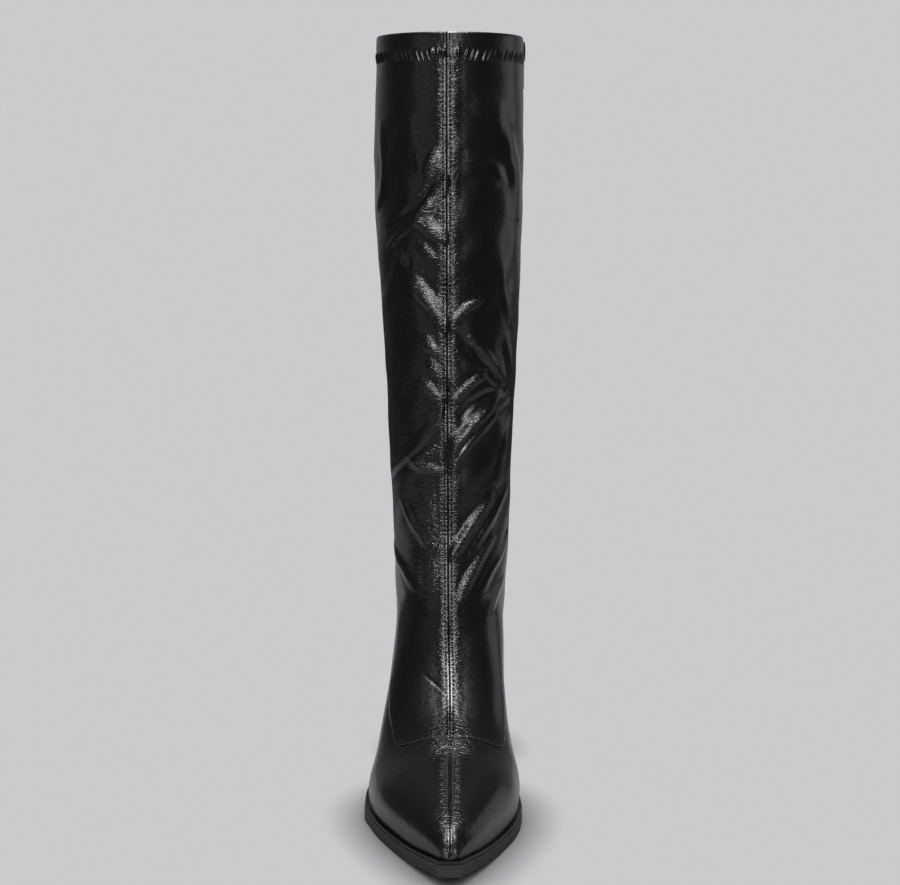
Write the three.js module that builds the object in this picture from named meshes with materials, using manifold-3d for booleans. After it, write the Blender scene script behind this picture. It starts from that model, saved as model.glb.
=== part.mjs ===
// A knee-high boot for the right foot: pointed toe with a snipped end, block heel and a closed zip on the
// inner side.
// Millimetres. +Z is up and the toe points to -Y; +X is the inner (medial) side of the foot.
// The origin is the middle of the heel's ground face. "along" is a distance forward of it, towards the toe.
import * as THREE from "three";
import { mergeVertices } from "three/addons/utils/BufferGeometryUtils.js";
import Module from "manifold-3d";

const wasm = await Module();
wasm.setup();

// Foot
const shoeLength = 250; // outsole, from the back of the heel to the toe tip
const heelSetback = 28; // from the outsole's back to the middle of the heel's ground face
const ballWidth = 91.4; // outsole across the ball
const seatHeight = 62; // ground to the underside of the outsole at the back
const toeSpring = 6.2; // ground to the underside of the outsole at the tip
const heelRoundness = 30; // length of the rounded back of the outsole
const ballHeight = 38.3; // top of the vamp above its lower edge, at the ball

// Leg
const bootHeight = 440; // ground to the top of the collar
const ankleHeight = 150; // ground to the narrowest part of the ankle
const calfDepth = 125; // front to back at the calf
const calfWidth = 90; // side to side at the calf

// Walls and layers
const wall = 1.6; // leather and lining
const gap = 0.3; // clearance between pieces that touch
const soleThickness = 7.1; // outsole at the ball
const weltThickness = 1.3;
const weltInset = 0.3; // the welt's edge behind the outsole's edge
const ledge = 2.2; // how far the outsole stands out from the upper at the ball
const insoleThickness = 4.2;
const insoleShort = 17; // toe tip to the front of the insole
const soleBevel = 0.6;
const shortestEdge = 0.005;

// Heel
const liftThickness = 6;
const heelInset = 0.6; // the heel's top behind the outsole's edge
const heelFootWidth = 50; // ground face, side to side
const heelFootLength = 46; // ground face, front to back
const heelBreast = 26; // front of the heel's top, along
const heelWaist = 1.2; // how far the heel's sides draw in between top and ground

// Seams, collar and zip
const seamCrest = 1.2; // middle of the front seam to its crest
const seamFoot = 3.2; // middle of the front seam to where it meets the leather
const seamHeight = 0.8;
const seamGroove = 0.3; // height left in the middle of the front seam
const panelStep = 0.7; // how far the front panel stands above the vamp and the back
const panelEdge = 0.8; // width of the front panel's turned edge
const bandHeight = 14;
const bandThickness = 2.4;
const bandProud = 0.4; // how far the collar band stands above the leather
const slotWidth = 9.6;
const tapeWidth = 24;
const tapeThickness = 0.8;
const teethWidth = 5.8;
const teethSunk = 1; // the teeth below the leather's face
const slotMargin = 2; // the slot beyond the zip's foot and past both faces of the wall
const trimDepth = 3; // how far the upper's sections go on below the feather line before they are trimmed

// Places counted in sections, from the toe (0) to the collar
const zipFoot = 13.6; // where the zip ends
const innerStart = 1.5; // front of the space inside the toe
const panelStart = 0.03; // rise of the front panel's lower edge

// Slider and pull tab
const sliderLength = 12.4;
const sliderWidth = 8.4;
const sliderThickness = 0.8;
const sliderDrop = 8.4; // top of the boot to the slider's middle
const bridgeWidth = 2;
const bridgeLength = 8;
const bridgeRise = 1.4; // under the bridge's bar
const bridgeBar = 0.5;
const pinRadius = 0.45;
const pullLength = 22;
const pullWidth = 6.2;
const pullThickness = 0.6;
const pullEye = 6; // length of the opening that the bridge passes through
const pullEyeMargin = 0.5; // room beside the bridge

const mm = (along, side, up) => new THREE.Vector3(side, -along, up);
const alongOf = (share) => share * shoeLength - heelSetback;
const toeTip = shoeLength - heelSetback;

// A smooth curve through (x, y) pairs that never overshoots them.
function curve(xs, ys) {
  const n = xs.length;
  const slope = xs.slice(1).map((x, i) => (ys[i + 1] - ys[i]) / (x - xs[i]));
  const tangent = ys.map((_, i) => {
    if (i === 0) return slope[0];
    if (i === n - 1) return slope[n - 2];
    if (slope[i - 1] * slope[i] <= 0) return 0;
    const before = xs[i] - xs[i - 1];
    const after = xs[i + 1] - xs[i];
    const heavy = 2 * after + before;
    const light = after + 2 * before;
    return (heavy + light) / (heavy / slope[i - 1] + light / slope[i]);
  });
  return (x) => {
    const at = Math.min(Math.max(x, xs[0]), xs[n - 1]);
    let i = 0;
    while (i < n - 2 && at > xs[i + 1]) i += 1;
    const span = xs[i + 1] - xs[i];
    const k = (at - xs[i]) / span;
    const rest = 1 - k;
    return (
      ys[i] * (1 + 2 * k) * rest * rest +
      tangent[i] * span * k * rest * rest +
      ys[i + 1] * k * k * (3 - 2 * k) -
      tangent[i + 1] * span * k * k * rest
    );
  };
}
const columnCurve = (rows, key, column) =>
  curve(
    rows.map((row) => row[key]),
    rows.map((row) => row[column]),
  );
const steps = (from, to, count) =>
  Array.from({ length: count + 1 }, (_, i) => from + ((to - from) * i) / count);

// Rows of numbers under named columns.
const table = (columns, rows) =>
  rows.map((row) => Object.fromEntries(columns.map((column, i) => [column, row[i]])));

// The outsole's outline. back: share of shoeLength from the heel. lateral, medial: half widths, share of ballWidth.
const outlineRows = table(
  ["back", "lateral", "medial"],
  [
    [0.0, 0.345, 0.343],
    [0.112, 0.345, 0.343],
    [0.192, 0.35, 0.339],
    [0.272, 0.367, 0.328],
    [0.352, 0.41, 0.339],
    [0.432, 0.455, 0.382],
    [0.512, 0.497, 0.415],
    [0.572, 0.53, 0.439],
    [0.612, 0.531, 0.447],
    [0.672, 0.492, 0.434],
    [0.732, 0.436, 0.398],
    [0.792, 0.363, 0.337],
    [0.852, 0.285, 0.268],
    [0.904, 0.212, 0.202],
    [0.944, 0.149, 0.143],
    [0.976, 0.1, 0.098],
    [1.0, 0.068, 0.068],
  ],
);
// The outsole from the side. rise: share of seatHeight. spring: share of toeSpring. thick: share of soleThickness.
// reach: share of the ledge round the upper.
const profileRows = table(
  ["back", "rise", "spring", "thick", "reach"],
  [
    [0.0, 1.0, 0, 0.45, 0.6],
    [0.112, 0.961, 0, 0.45, 0.6],
    [0.2, 0.9, 0, 0.45, 0.6],
    [0.272, 0.774, 0, 0.48, 0.6],
    [0.352, 0.576, 0, 0.52, 0.65],
    [0.432, 0.355, 0, 0.58, 0.82],
    [0.504, 0.169, 0, 0.7, 0.97],
    [0.56, 0.055, 0, 0.87, 1],
    [0.608, 0.005, 0, 1, 1],
    [0.632, 0, 0, 1, 1],
    [0.752, 0, 0, 1, 1],
    [0.812, 0, 0.07, 1, 1],
    [0.872, 0, 0.25, 1, 1],
    [0.932, 0, 0.54, 1, 1],
    [1.0, 0, 1, 1, 1],
  ],
);
const outline = {
  lateral: columnCurve(outlineRows, "back", "lateral"),
  medial: columnCurve(outlineRows, "back", "medial"),
};
const profile = Object.fromEntries(
  ["rise", "spring", "thick", "reach"].map((column) => [column, columnCurve(profileRows, "back", column)]),
);
const backOf = (along) => (along + heelSetback) / shoeLength;
const soleUnder = (along) =>
  profile.rise(backOf(along)) * seatHeight + profile.spring(backOf(along)) * toeSpring;
const soleTop = (along) => soleUnder(along) + profile.thick(backOf(along)) * soleThickness;
const weltTop = (along) => soleTop(along) + gap + weltThickness;
const featherHeight = (along) => weltTop(along) + gap;
const ledgeAt = (along) => profile.reach(backOf(along)) * ledge;

// Half width of the outline drawn in by inset at a place along, on the side +1 (medial) or -1 (lateral).
function halfWidth(along, side, inset = 0) {
  const sideCurve = side > 0 ? outline.medial : outline.lateral;
  const width = (at) => sideCurve(backOf(at)) * ballWidth;
  const lean = (width(along + 1) - width(along - 1)) / 2;
  const fromBack = (along + heelSetback - inset) / (heelRoundness - inset);
  const round = Math.sqrt(1 - (1 - Math.min(Math.max(fromBack, 0), 1)) ** 2);
  return (width(along) - inset * Math.hypot(1, lean)) * round;
}
const featherWidth = (along, side) => halfWidth(along, side, ledgeAt(along));
const heelEnd = -heelSetback + ledgeAt(-heelSetback);

// Sections of the upper over the forefoot, a row for each. front, foot: the top and bottom of the section, share of
// toeTip. rise: the top's height above the feather line, share of ballHeight. lateral, medial: half widths, share of
// ballWidth. widest: where the section is widest, share of the way down. roundLateral, roundMedial: how square.
// tuck: degrees of curve from the widest place in to the feather line. square: how square the heel is, 1 for an ellipse.
const footRows = table(
  ["front", "foot", "rise", "lateral", "medial", "widest", "roundLateral", "roundMedial"],
  [
    [0.9847, 0.9833, 0.08, 0.049, 0.049, 0.5, 2, 2],
    [0.9802, 0.9775, 0.165, 0.06, 0.06, 0.55, 2, 2],
    [0.9662, 0.9595, 0.262, 0.089, 0.087, 0.6, 2, 2],
    [0.9414, 0.928, 0.378, 0.137, 0.131, 0.66, 2, 2.1],
    [0.9009, 0.883, 0.49, 0.2, 0.187, 0.7, 2, 2.2],
    [0.8378, 0.8153, 0.62, 0.287, 0.26, 0.72, 2, 2.3],
    [0.7568, 0.7275, 0.745, 0.391, 0.346, 0.74, 2.05, 2.4],
    [0.6667, 0.6284, 0.865, 0.475, 0.415, 0.8, 2, 2.4],
    [0.5721, 0.5225, 1.0, 0.51, 0.437, 0.85, 1.95, 2.3],
  ],
);
// Sections that fan round the instep, with their lower ends on the sole. front, foot: share of toeTip, or foot: share
// of the way from the middle of the heel to its back where negative. up: the top's height, share of ankleHeight.
const fanRows = table(
  ["front", "foot", "up", "lateral", "medial", "widest", "roundLateral", "roundMedial", "tuck", "square"],
  [
    [0.5, 0.4324, 0.363, 0.468, 0.4, 0.76, 2, 2.35, 60, 1],
    [0.4369, 0.3423, 0.43, 0.438, 0.373, 0.7, 2.05, 2.25, 60, 1],
    [0.3874, 0.2342, 0.51, 0.398, 0.355, 0.6, 2.1, 2.2, 60, 1],
    [0.3468, 0.1171, 0.6, 0.372, 0.351, 0.55, 2.1, 2.15, 60, 1],
    [0.3153, 0.009, 0.69, 0.357, 0.351, 0.5, 2.1, 2.1, 64, 1],
    [0.2982, -0.54, 0.747, 0.3535, 0.352, 0.5, 2.1, 2.1, 74, 1],
    [0.2856, -1, 0.803, 0.356, 0.3565, 0.5, 2.1, 2.1, 90, 1.22],
  ],
);
// Sections above the seat. up: the front's height; above: the back's height; both share of the way from ankleHeight to
// bootHeight, or of ankleHeight below it where negative. front, back: share of calfDepth. lateral, medial: share of
// calfWidth.
const legRows = table(
  ["up", "above", "front", "back", "lateral", "medial", "widest", "square"],
  [
    [-0.127, -0.445, 0.4856, 0.23, 0.366, 0.372, 0.5, 1.17],
    [-0.06, -0.34, 0.4712, 0.234, 0.37, 0.383, 0.5, 1.1],
    [0.007, -0.225, 0.464, 0.222, 0.375, 0.391, 0.5, 1],
    [0.048, -0.095, 0.462, 0.203, 0.379, 0.397, 0.5, 1],
    [0.1, 0.035, 0.463, 0.194, 0.388, 0.404, 0.49, 1],
    [0.16, 0.125, 0.465, 0.216, 0.404, 0.409, 0.48, 1],
    [0.26, 0.25, 0.47, 0.286, 0.415, 0.428, 0.47, 1],
    [0.38, 0.38, 0.479, 0.366, 0.437, 0.448, 0.46, 1],
    [0.52, 0.52, 0.49, 0.434, 0.468, 0.466, 0.46, 1],
    [0.66, 0.66, 0.501, 0.478, 0.496, 0.479, 0.46, 1],
    [0.78, 0.78, 0.51, 0.488, 0.499, 0.483, 0.46, 1],
    [0.88, 0.88, 0.516, 0.487, 0.486, 0.479, 0.46, 1],
    [0.95, 0.95, 0.519, 0.483, 0.477, 0.475, 0.46, 1],
    [1.0, 1.0, 0.52, 0.48, 0.471, 0.468, 0.46, 1],
  ],
);
const legRound = 2.1;
const footTuck = 60;
const tapeSpread = 32; // most degrees round the section that half the zip's tape takes
const legUp = (share) =>
  share < 0 ? ankleHeight * (1 + share) : ankleHeight + share * (bootHeight - ankleHeight);

// All sections in one list of real lengths: front point, back or bottom point, half widths and roundness.
const seatCorner = footRows.length + fanRows.length - 1;
const sections = [
  ...footRows.map((row) => ({
    ...row,
    frontAlong: row.front * toeTip,
    frontUp: featherHeight(row.front * toeTip) + row.rise * ballHeight,
    backAlong: row.foot * toeTip,
    backUp: featherHeight(row.foot * toeTip),
    lateral: row.lateral * ballWidth,
    medial: row.medial * ballWidth,
    tuck: footTuck,
    square: 1,
  })),
  ...fanRows.map((row) => {
    const backAlong = row.foot < 0 ? -row.foot * heelEnd : row.foot * toeTip;
    return {
      ...row,
      frontAlong: row.front * toeTip,
      frontUp: row.up * ankleHeight,
      backAlong,
      backUp: featherHeight(backAlong),
      lateral: row.lateral * ballWidth,
      medial: row.medial * ballWidth,
    };
  }),
  ...legRows.map((row) => ({
    frontAlong: row.front * calfDepth,
    frontUp: legUp(row.up),
    backAlong: -row.back * calfDepth,
    backUp: legUp(row.above),
    lateral: row.lateral * calfWidth,
    medial: row.medial * calfWidth,
    widest: row.widest,
    roundLateral: legRound,
    roundMedial: legRound,
    tuck: 90,
    square: row.square,
  })),
];
sections.forEach((section, station) => Object.assign(section, { station }));
const lastStation = sections.length - 1;
const columns = ["frontAlong", "frontUp", "lateral", "medial", "widest"];
const sectionCurve = Object.fromEntries(
  [...columns, "roundLateral", "roundMedial", "tuck", "square"].map((column) => [
    column,
    columnCurve(sections, "station", column),
  ]),
);
// The back end comes to rest where it leaves the sole, and then goes up the back of the heel.
const resting = (from, to) => {
  const rest = { ...sections[seatCorner], station: from === 0 ? seatCorner + 1 : seatCorner - 1 };
  return [...sections.slice(from, to), rest].sort((a, b) => a.station - b.station);
};
const backAlongSole = columnCurve(resting(0, seatCorner + 1), "station", "backAlong");
const backAlongAbove = columnCurve(resting(seatCorner), "station", "backAlong");
const backUpAbove = columnCurve(resting(seatCorner), "station", "backUp");

// A point of the upper's outer surface. station runs from the toe (0) to the collar (lastStation), and angle from 0 at
// the front to +-180 degrees at the back or the feather line, positive on the medial side.
function upperPoint(station, angle) {
  const section = Object.fromEntries(
    Object.entries(sectionCurve).map(([column, value]) => [column, value(station)]),
  );
  const onSole = station <= seatCorner;
  const backAlong = onSole ? backAlongSole(station) : backAlongAbove(station);
  const backUp = onSole ? featherHeight(backAlong) : backUpAbove(station);
  const side = angle >= 0 ? 1 : -1;
  const width = side > 0 ? section.medial : section.lateral;
  const round = side > 0 ? section.roundMedial : section.roundLateral;
  const turn = THREE.MathUtils.degToRad(Math.min(Math.abs(angle), 180));
  let down;
  let out;
  if (turn <= Math.PI / 2) {
    down = section.widest * (1 - Math.cos(turn) ** (2 / round));
    out = width * Math.sin(turn) ** (2 / round);
  } else {
    const edge = onSole ? Math.min(featherWidth(backAlong, side) / width, 1) : 0;
    const tuck = THREE.MathUtils.degToRad(section.tuck);
    const curl = (turn / (Math.PI / 2) - 1) * tuck;
    down = section.widest + ((1 - section.widest) * Math.sin(curl)) / Math.sin(tuck);
    const inward = (1 - Math.cos(curl)) / (1 - Math.cos(tuck));
    out = width * (1 - (1 - edge) * inward ** section.square);
  }
  return mm(
    section.frontAlong + down * (backAlong - section.frontAlong),
    side * out,
    section.frontUp + down * (backUp - section.frontUp),
  );
}
// The outward direction of the upper's surface.
function upperNormal(station, angle) {
  const small = 0.02;
  const turn = Math.min(Math.max(angle, -178), 178);
  const before = Math.max(station - small, 0);
  const after = Math.min(station + small, lastStation);
  const up = upperPoint(after, turn).sub(upperPoint(before, turn));
  const round = upperPoint(station, turn + 1).sub(upperPoint(station, turn - 1));
  return round.cross(up).normalize();
}
const offsetPoint = (station, angle, out) =>
  upperPoint(station, angle).addScaledVector(upperNormal(station, angle), out);

// Turns a closed triangle mesh into a solid, leaving out triangles that have no area.
function solid(points, triangles) {
  const position = new Float32Array(points.flatMap((p) => [p.x, p.y, p.z]));
  const loose = new THREE.BufferGeometry()
    .setAttribute("position", new THREE.BufferAttribute(position, 3))
    .setIndex(triangles.flat());
  const merged = mergeVertices(loose, 1e-4);
  const index = merged.index.array;
  const kept = [];
  for (let i = 0; i < index.length; i += 3) {
    const [a, b, c] = [index[i], index[i + 1], index[i + 2]];
    if (a !== b && b !== c && c !== a) kept.push(a, b, c);
  }
  const made = new wasm.Manifold(
    new wasm.Mesh({
      numProp: 3,
      vertProperties: merged.attributes.position.array,
      triVerts: new Uint32Array(kept),
    }),
  );
  return made.volume() < 0 ? solid(points, triangles.map(([a, b, c]) => [a, c, b])) : made;
}
// Joins rings of points, each one closed loop with as many points, into a solid; closed joins the last to the first.
function loft(rings, closed = false) {
  const count = rings[0].length;
  const points = rings.flat();
  const triangles = [];
  const spans = closed ? rings.length : rings.length - 1;
  for (let i = 0; i < spans; i += 1) {
    const here = i * count;
    const next = ((i + 1) % rings.length) * count;
    for (let j = 0; j < count; j += 1) {
      const k = (j + 1) % count;
      triangles.push([here + j, next + j, next + k], [here + j, next + k, here + k]);
    }
  }
  if (!closed) {
    [0, rings.length - 1].forEach((i, end) => {
      const middle = points.length;
      const centre = rings[i].reduce((sum, p) => sum.add(p), new THREE.Vector3()).divideScalar(count);
      points.push(centre);
      for (let j = 0; j < count; j += 1) {
        const k = (j + 1) % count;
        const [a, b] = [i * count + j, i * count + k];
        triangles.push(end ? [middle, b, a] : [middle, a, b]);
      }
    });
  }
  return solid(points, triangles);
}
// A box between two corners given as along, side, up.
function block(from, to) {
  const low = mm(...from);
  const high = mm(...to);
  const size = high.clone().sub(low);
  const box = new THREE.BoxGeometry(Math.abs(size.x), Math.abs(size.y), Math.abs(size.z));
  box.deleteAttribute("normal");
  box.deleteAttribute("uv");
  box.translate((low.x + high.x) / 2, (low.y + high.y) / 2, (low.z + high.z) / 2);
  const merged = mergeVertices(box);
  return new wasm.Manifold(
    new wasm.Mesh({
      numProp: 3,
      vertProperties: merged.attributes.position.array,
      triVerts: new Uint32Array(merged.index.array),
    }),
  );
}

// Where the front panel's side edges and the zip lie, as angles round the section.
const throatStation = footRows.length - 1;
const edgeRows = table(
  ["station", "lateral", "medial"],
  [
    [throatStation, 41, 48],
    [throatStation + 1, 51, 58],
    [throatStation + 2, 63, 68],
    [throatStation + 3, 76, 77],
    [throatStation + 4, 86, 84],
    [throatStation + 6, 90, 90],
    [lastStation, 90, 90],
  ],
);
const panelAngle = {
  lateral: columnCurve(edgeRows, "station", "lateral"),
  medial: columnCurve(edgeRows, "station", "medial"),
};
const zipRows = table(
  ["station", "medial"],
  [
    [seatCorner - 1.6, 140],
    [zipFoot, 132],
    [seatCorner - 1, 120],
    [seatCorner - 0.5, 107],
    [seatCorner, 100.5],
    [seatCorner + 0.5, 97],
    [seatCorner + 1, 93.5],
    [seatCorner + 2, 90],
    [lastStation, 90],
  ],
);
const zipAngle = columnCurve(zipRows, "station", "medial");

// Degrees round the section that cover a distance on the surface.
function turnFor(station, angle, distance) {
  const span = upperPoint(station, angle + 1).distanceTo(upperPoint(station, angle - 1));
  return (2 * distance) / Math.max(span, 1e-3);
}
// Angle at which the surface lies a distance to the side of the front seam.
function seamAngle(station, side, distance) {
  const column = side > 0 ? "medial" : "lateral";
  const round = sectionCurve[side > 0 ? "roundMedial" : "roundLateral"](station);
  const share = Math.min(distance / sectionCurve[column](station), 0.7);
  return THREE.MathUtils.radToDeg(Math.asin(share ** (round / 2)));
}

// Heights above the plain surface at the columns of one side of the upper, from the front seam to the back.
function outerColumns(station, side) {
  const edge = panelAngle[side > 0 ? "medial" : "lateral"](station);
  const onPanel = station > throatStation ? panelStep : 0;
  const crest = seamAngle(station, side, seamCrest);
  const foot = seamAngle(station, side, seamFoot);
  const turnedEdge = edge + turnFor(station, edge, panelEdge);
  return [
    { angle: crest, height: onPanel + seamHeight },
    ...steps(foot, edge, 5).map((angle) => ({ angle, height: onPanel })),
    ...steps(turnedEdge, 180, 7).map((angle) => ({ angle, height: 0 })),
  ];
}
// The section's two ends, carried below the feather line to be trimmed there.
function trimmed(station, ends) {
  const dip = station <= seatCorner ? trimDepth : 0;
  return ends.map((p) => p.clone().sub(new THREE.Vector3(0, 0, dip)));
}
function outerRing(station) {
  const onPanel = station > throatStation ? panelStep : 0;
  const [medial, lateral] = [1, -1].map((side) =>
    outerColumns(station, side).map(({ angle, height }) => offsetPoint(station, side * angle, height)),
  );
  const front = offsetPoint(station, 0, onPanel + seamGroove);
  return [front, ...medial, ...trimmed(station, [medial.at(-1), lateral.at(-1)]), ...lateral.reverse()];
}
// Columns of the inner surface on the medial side hold the zip's tape, so that the tape lies flat against it.
function innerAngles(station) {
  const zip = zipAngle(station);
  const half = Math.min(turnFor(station, zip, tapeWidth / 2), tapeSpread);
  const before = steps(0, zip - half, 5).slice(1);
  const after = steps(zip + half, 180, 6);
  const medial = [...before, zip, ...after];
  const lateral = steps(0, 180, 12).slice(1);
  return [0, ...medial, ...lateral.map((angle) => -angle).reverse()];
}
function tubeRing(station, out) {
  const angles = innerAngles(station);
  const ring = angles.map((angle) => offsetPoint(station, angle, out));
  const end = angles.indexOf(180) + 1;
  return [...ring.slice(0, end), ...trimmed(station, [ring[end - 1], ring[end]]), ...ring.slice(end)];
}

const footStations = steps(0, throatStation, 16);
const instepStations = steps(throatStation + 0.5, seatCorner - 1, 11);
const seatStations = steps(seatCorner - 1, seatCorner, 4).slice(1, -1);
const fanStations = [...instepStations, ...seatStations];
const heelStations = steps(seatCorner, seatCorner + 1, 4).slice(0, -1);
const legStations = [...heelStations, ...steps(seatCorner + 1, lastStation, 21)];
const outerStations = [...footStations, throatStation + panelStart, ...fanStations, ...legStations];
const innerStations = [...steps(innerStart, throatStation, 8), ...fanStations, ...legStations];

// Cutters that the upper and the collar band share.
const far = 2 * bootHeight;
const bandBottom = bootHeight - bandHeight;
const above = (height) => block([-far, -far, height], [far, far, far]);
const below = (height) => block([-far, -far, -far], [far, far, height]);
// A ring moved straight up, to carry a tube past the collar.
const raised = (ring, by) => ring.map((p) => p.clone().add(new THREE.Vector3(0, 0, by)));
function tube(stations, out, past) {
  const rings = stations.map((station) => tubeRing(station, out));
  return loft(past ? [...rings, raised(rings.at(-1), past)] : rings);
}
// A bar with a rectangular section that follows the zip, from under to over above the leather.
function zipBar(stations, width, under, over) {
  return loft(
    stations.map((station) => {
      const angle = zipAngle(station);
      const half = turnFor(station, angle, width / 2);
      const normal = upperNormal(station, angle);
      const [low, high] = [angle - half, angle + half].map((turn) => upperPoint(station, turn));
      const across = high.sub(low).setLength(width / 2);
      const middle = upperPoint(station, angle);
      const corner = (side, out) =>
        middle.clone().addScaledVector(across, side).addScaledVector(normal, out);
      return [corner(-1, under), corner(1, under), corner(1, over), corner(-1, over)];
    }),
  );
}
const between = (stations) => stations.slice(1).map((station, i) => (station + stations[i]) / 2);
const zipStations = between([...fanStations, ...legStations]).filter((station) => station > zipFoot);
zipStations.push(lastStation);

function makeUpper() {
  const outer = loft(outerStations.map(outerRing));
  const inner = tube(innerStations, -wall, bandHeight);
  return outer
    .subtract(inner)
    .subtract(underUpper())
    .subtract(above(bandBottom - gap))
    .subtract(zipSlot());
}
function zipSlot() {
  const stations = [zipFoot, ...zipStations];
  const bar = zipBar(stations, slotWidth, -wall - slotMargin, slotMargin + panelStep);
  const top = zipBar([lastStation - 1, lastStation], slotWidth, -wall - slotMargin, slotMargin + panelStep);
  const overTop = top.translate([0, 0, bandHeight]);
  return bar.add(overTop);
}
function makeCollarBand() {
  const stations = legStations.slice(-4);
  const outer = tube(stations, panelStep + bandProud, 0);
  const inner = tube(stations, panelStep + bandProud - bandThickness, bandHeight);
  return outer.subtract(inner).subtract(below(bandBottom)).subtract(zipSlot());
}
// The tape lies against the inside of the upper and stops below the collar band.
function makeZipTape() {
  const stations = [zipFoot - 0.2, ...zipStations];
  return loft(
    stations.map((station) => {
      const zip = zipAngle(station);
      const half = turnFor(station, zip, tapeWidth / 2);
      const face = (out) => [zip - half, zip, zip + half].map((angle) => offsetPoint(station, angle, out));
      return [...face(-wall - 2 * gap), ...face(-wall - 2 * gap - tapeThickness).reverse()];
    }),
  ).subtract(above(bandBottom - gap));
}
function makeZipTeeth() {
  const top = bootHeight - sliderDrop + sliderLength / 2;
  return zipBar([zipFoot + 0.05, ...zipStations], teethWidth, -wall, -teethSunk).subtract(above(top));
}

// A plate that follows the sole: its edge drawn in by inset, between the heights low and high, with bevelled edges.
function solePlate(alongs, inset, low, high, bevel) {
  return loft(
    alongs.map((along) => {
      const [bottom, top] = [low(along), high(along)];
      const rim = (side) => {
        const reach = Math.max(halfWidth(along, side, inset(along)), 0);
        const inner = Math.max(reach - bevel, reach * 0.7);
        return [
          mm(along, side * inner, bottom),
          mm(along, side * reach, bottom + bevel),
          mm(along, side * reach, top - bevel),
          mm(along, side * inner, top),
        ];
      };
      return [...rim(1), ...rim(-1).reverse()];
    }),
  );
}
// Places along the sole, close together where its back is round and at the toe.
function soleAlongs(inset, short = inset(toeTip)) {
  const [from, to] = [inset(-heelSetback) - heelSetback, toeTip - short];
  const round = steps(0, 1, 9).map((k) => from + 0.06 + (heelRoundness - heelSetback - from) * k * k);
  const rows = [...profileRows, ...outlineRows].map((row) => alongOf(row.back));
  const middle = rows.filter((along) => along > heelRoundness - heelSetback + 3 && along < to - 0.5);
  const all = [...round, ...middle, to].sort((a, b) => a - b);
  return all.filter((along, i) => i === 0 || along - all[i - 1] > 0.05);
}
// The space below the upper, down from a gap over the welt, well past the outline.
const outside = () => -heelSetback / 4;
const underUpper = () => solePlate(soleAlongs(outside), outside, () => -seatHeight, featherHeight, 0);
const edge = () => 0;
const makeOutsole = () => solePlate(soleAlongs(edge), edge, soleUnder, soleTop, soleBevel);
const insoleLow = (along) => soleTop(along) + gap;
const insoleHigh = (along) => insoleLow(along) + insoleThickness;
const insoleInset = (along) => ledgeAt(along) + wall + 7 * gap;
function makeInsole() {
  const alongs = soleAlongs(insoleInset, insoleShort);
  return solePlate(alongs, insoleInset, insoleLow, insoleHigh, gap);
}

// The welt: a strip round the whole outline, from just behind the outsole's edge to inside the upper's wall.
const weltStrip = (along) => ledgeAt(along) + wall;
function makeWelt() {
  const rim = () => weltInset;
  const whole = solePlate(soleAlongs(rim), rim, insoleLow, weltTop, 0);
  const middle = solePlate(soleAlongs(weltStrip), weltStrip, () => -seatHeight, () => 2 * seatHeight, 0);
  return whole.subtract(middle);
}

// The heel's side at a place k from its back (0) to its breast (1), at a height between the ground and the outsole.
function heelCorner(k, side, height) {
  const top = -heelSetback + heelInset + k * (heelBreast + heelSetback - heelInset);
  const ground = (k - 0.5) * heelFootLength;
  const topUp = soleUnder(top) + liftThickness;
  const level = height === "top" ? 1 : height / topUp;
  const round = Math.sqrt(1 - (1 - Math.min((k * heelFootLength) / (heelFootWidth / 2), 1)) ** 2);
  const topWidth = halfWidth(top, side, heelInset);
  const groundWidth = (heelFootWidth / 2) * round;
  const waist = heelWaist * Math.sin(Math.PI * level) * round;
  return mm(
    ground + (top - ground) * level,
    side * (groundWidth + (topWidth - groundWidth) * level - waist),
    level * topUp,
  );
}
function makeHeelPart(heights) {
  const ks = steps(0, 1, 14).map((k) => 0.002 + 0.998 * k * k);
  return loft(
    ks.map((k) => {
      const rim = (side) => heights.map((height) => heelCorner(k, side, height));
      return [...rim(1), ...rim(-1).reverse()];
    }),
  );
}
const blockLevels = [0.12, 0.35, 0.6, 0.82].map((share) => share * seatHeight);
// The space above the heel, up from a gap under the outsole.
const aboveHeel = () =>
  solePlate(soleAlongs(outside), outside, (along) => soleUnder(along) - gap, () => 2 * seatHeight, 0);
const makeHeelBlock = () => makeHeelPart([liftThickness + gap, ...blockLevels, "top"]).subtract(aboveHeel());
const makeHeelLift = () => makeHeelPart([0, liftThickness / 2, liftThickness]);

// The slider lies over the teeth at the collar, with a bridge that holds the pull tab's pin.
const sliderUp = bootHeight - sliderDrop;
const sliderStation = (() => {
  let [low, high] = [lastStation - 3, lastStation];
  for (let i = 0; i < 40; i += 1) {
    const middle = (low + high) / 2;
    if (upperPoint(middle, 90).z < sliderUp) low = middle;
    else high = middle;
  }
  return low;
})();
const sliderSeat = upperPoint(sliderStation, zipAngle(sliderStation));
const sliderFace = sliderSeat.x - teethSunk + 2 * gap; // the slider's underside
const sliderTop = sliderFace + sliderThickness;
const sliderAlong = -sliderSeat.y;
const pinCentre = sliderTop + bridgeRise / 2;
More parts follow.
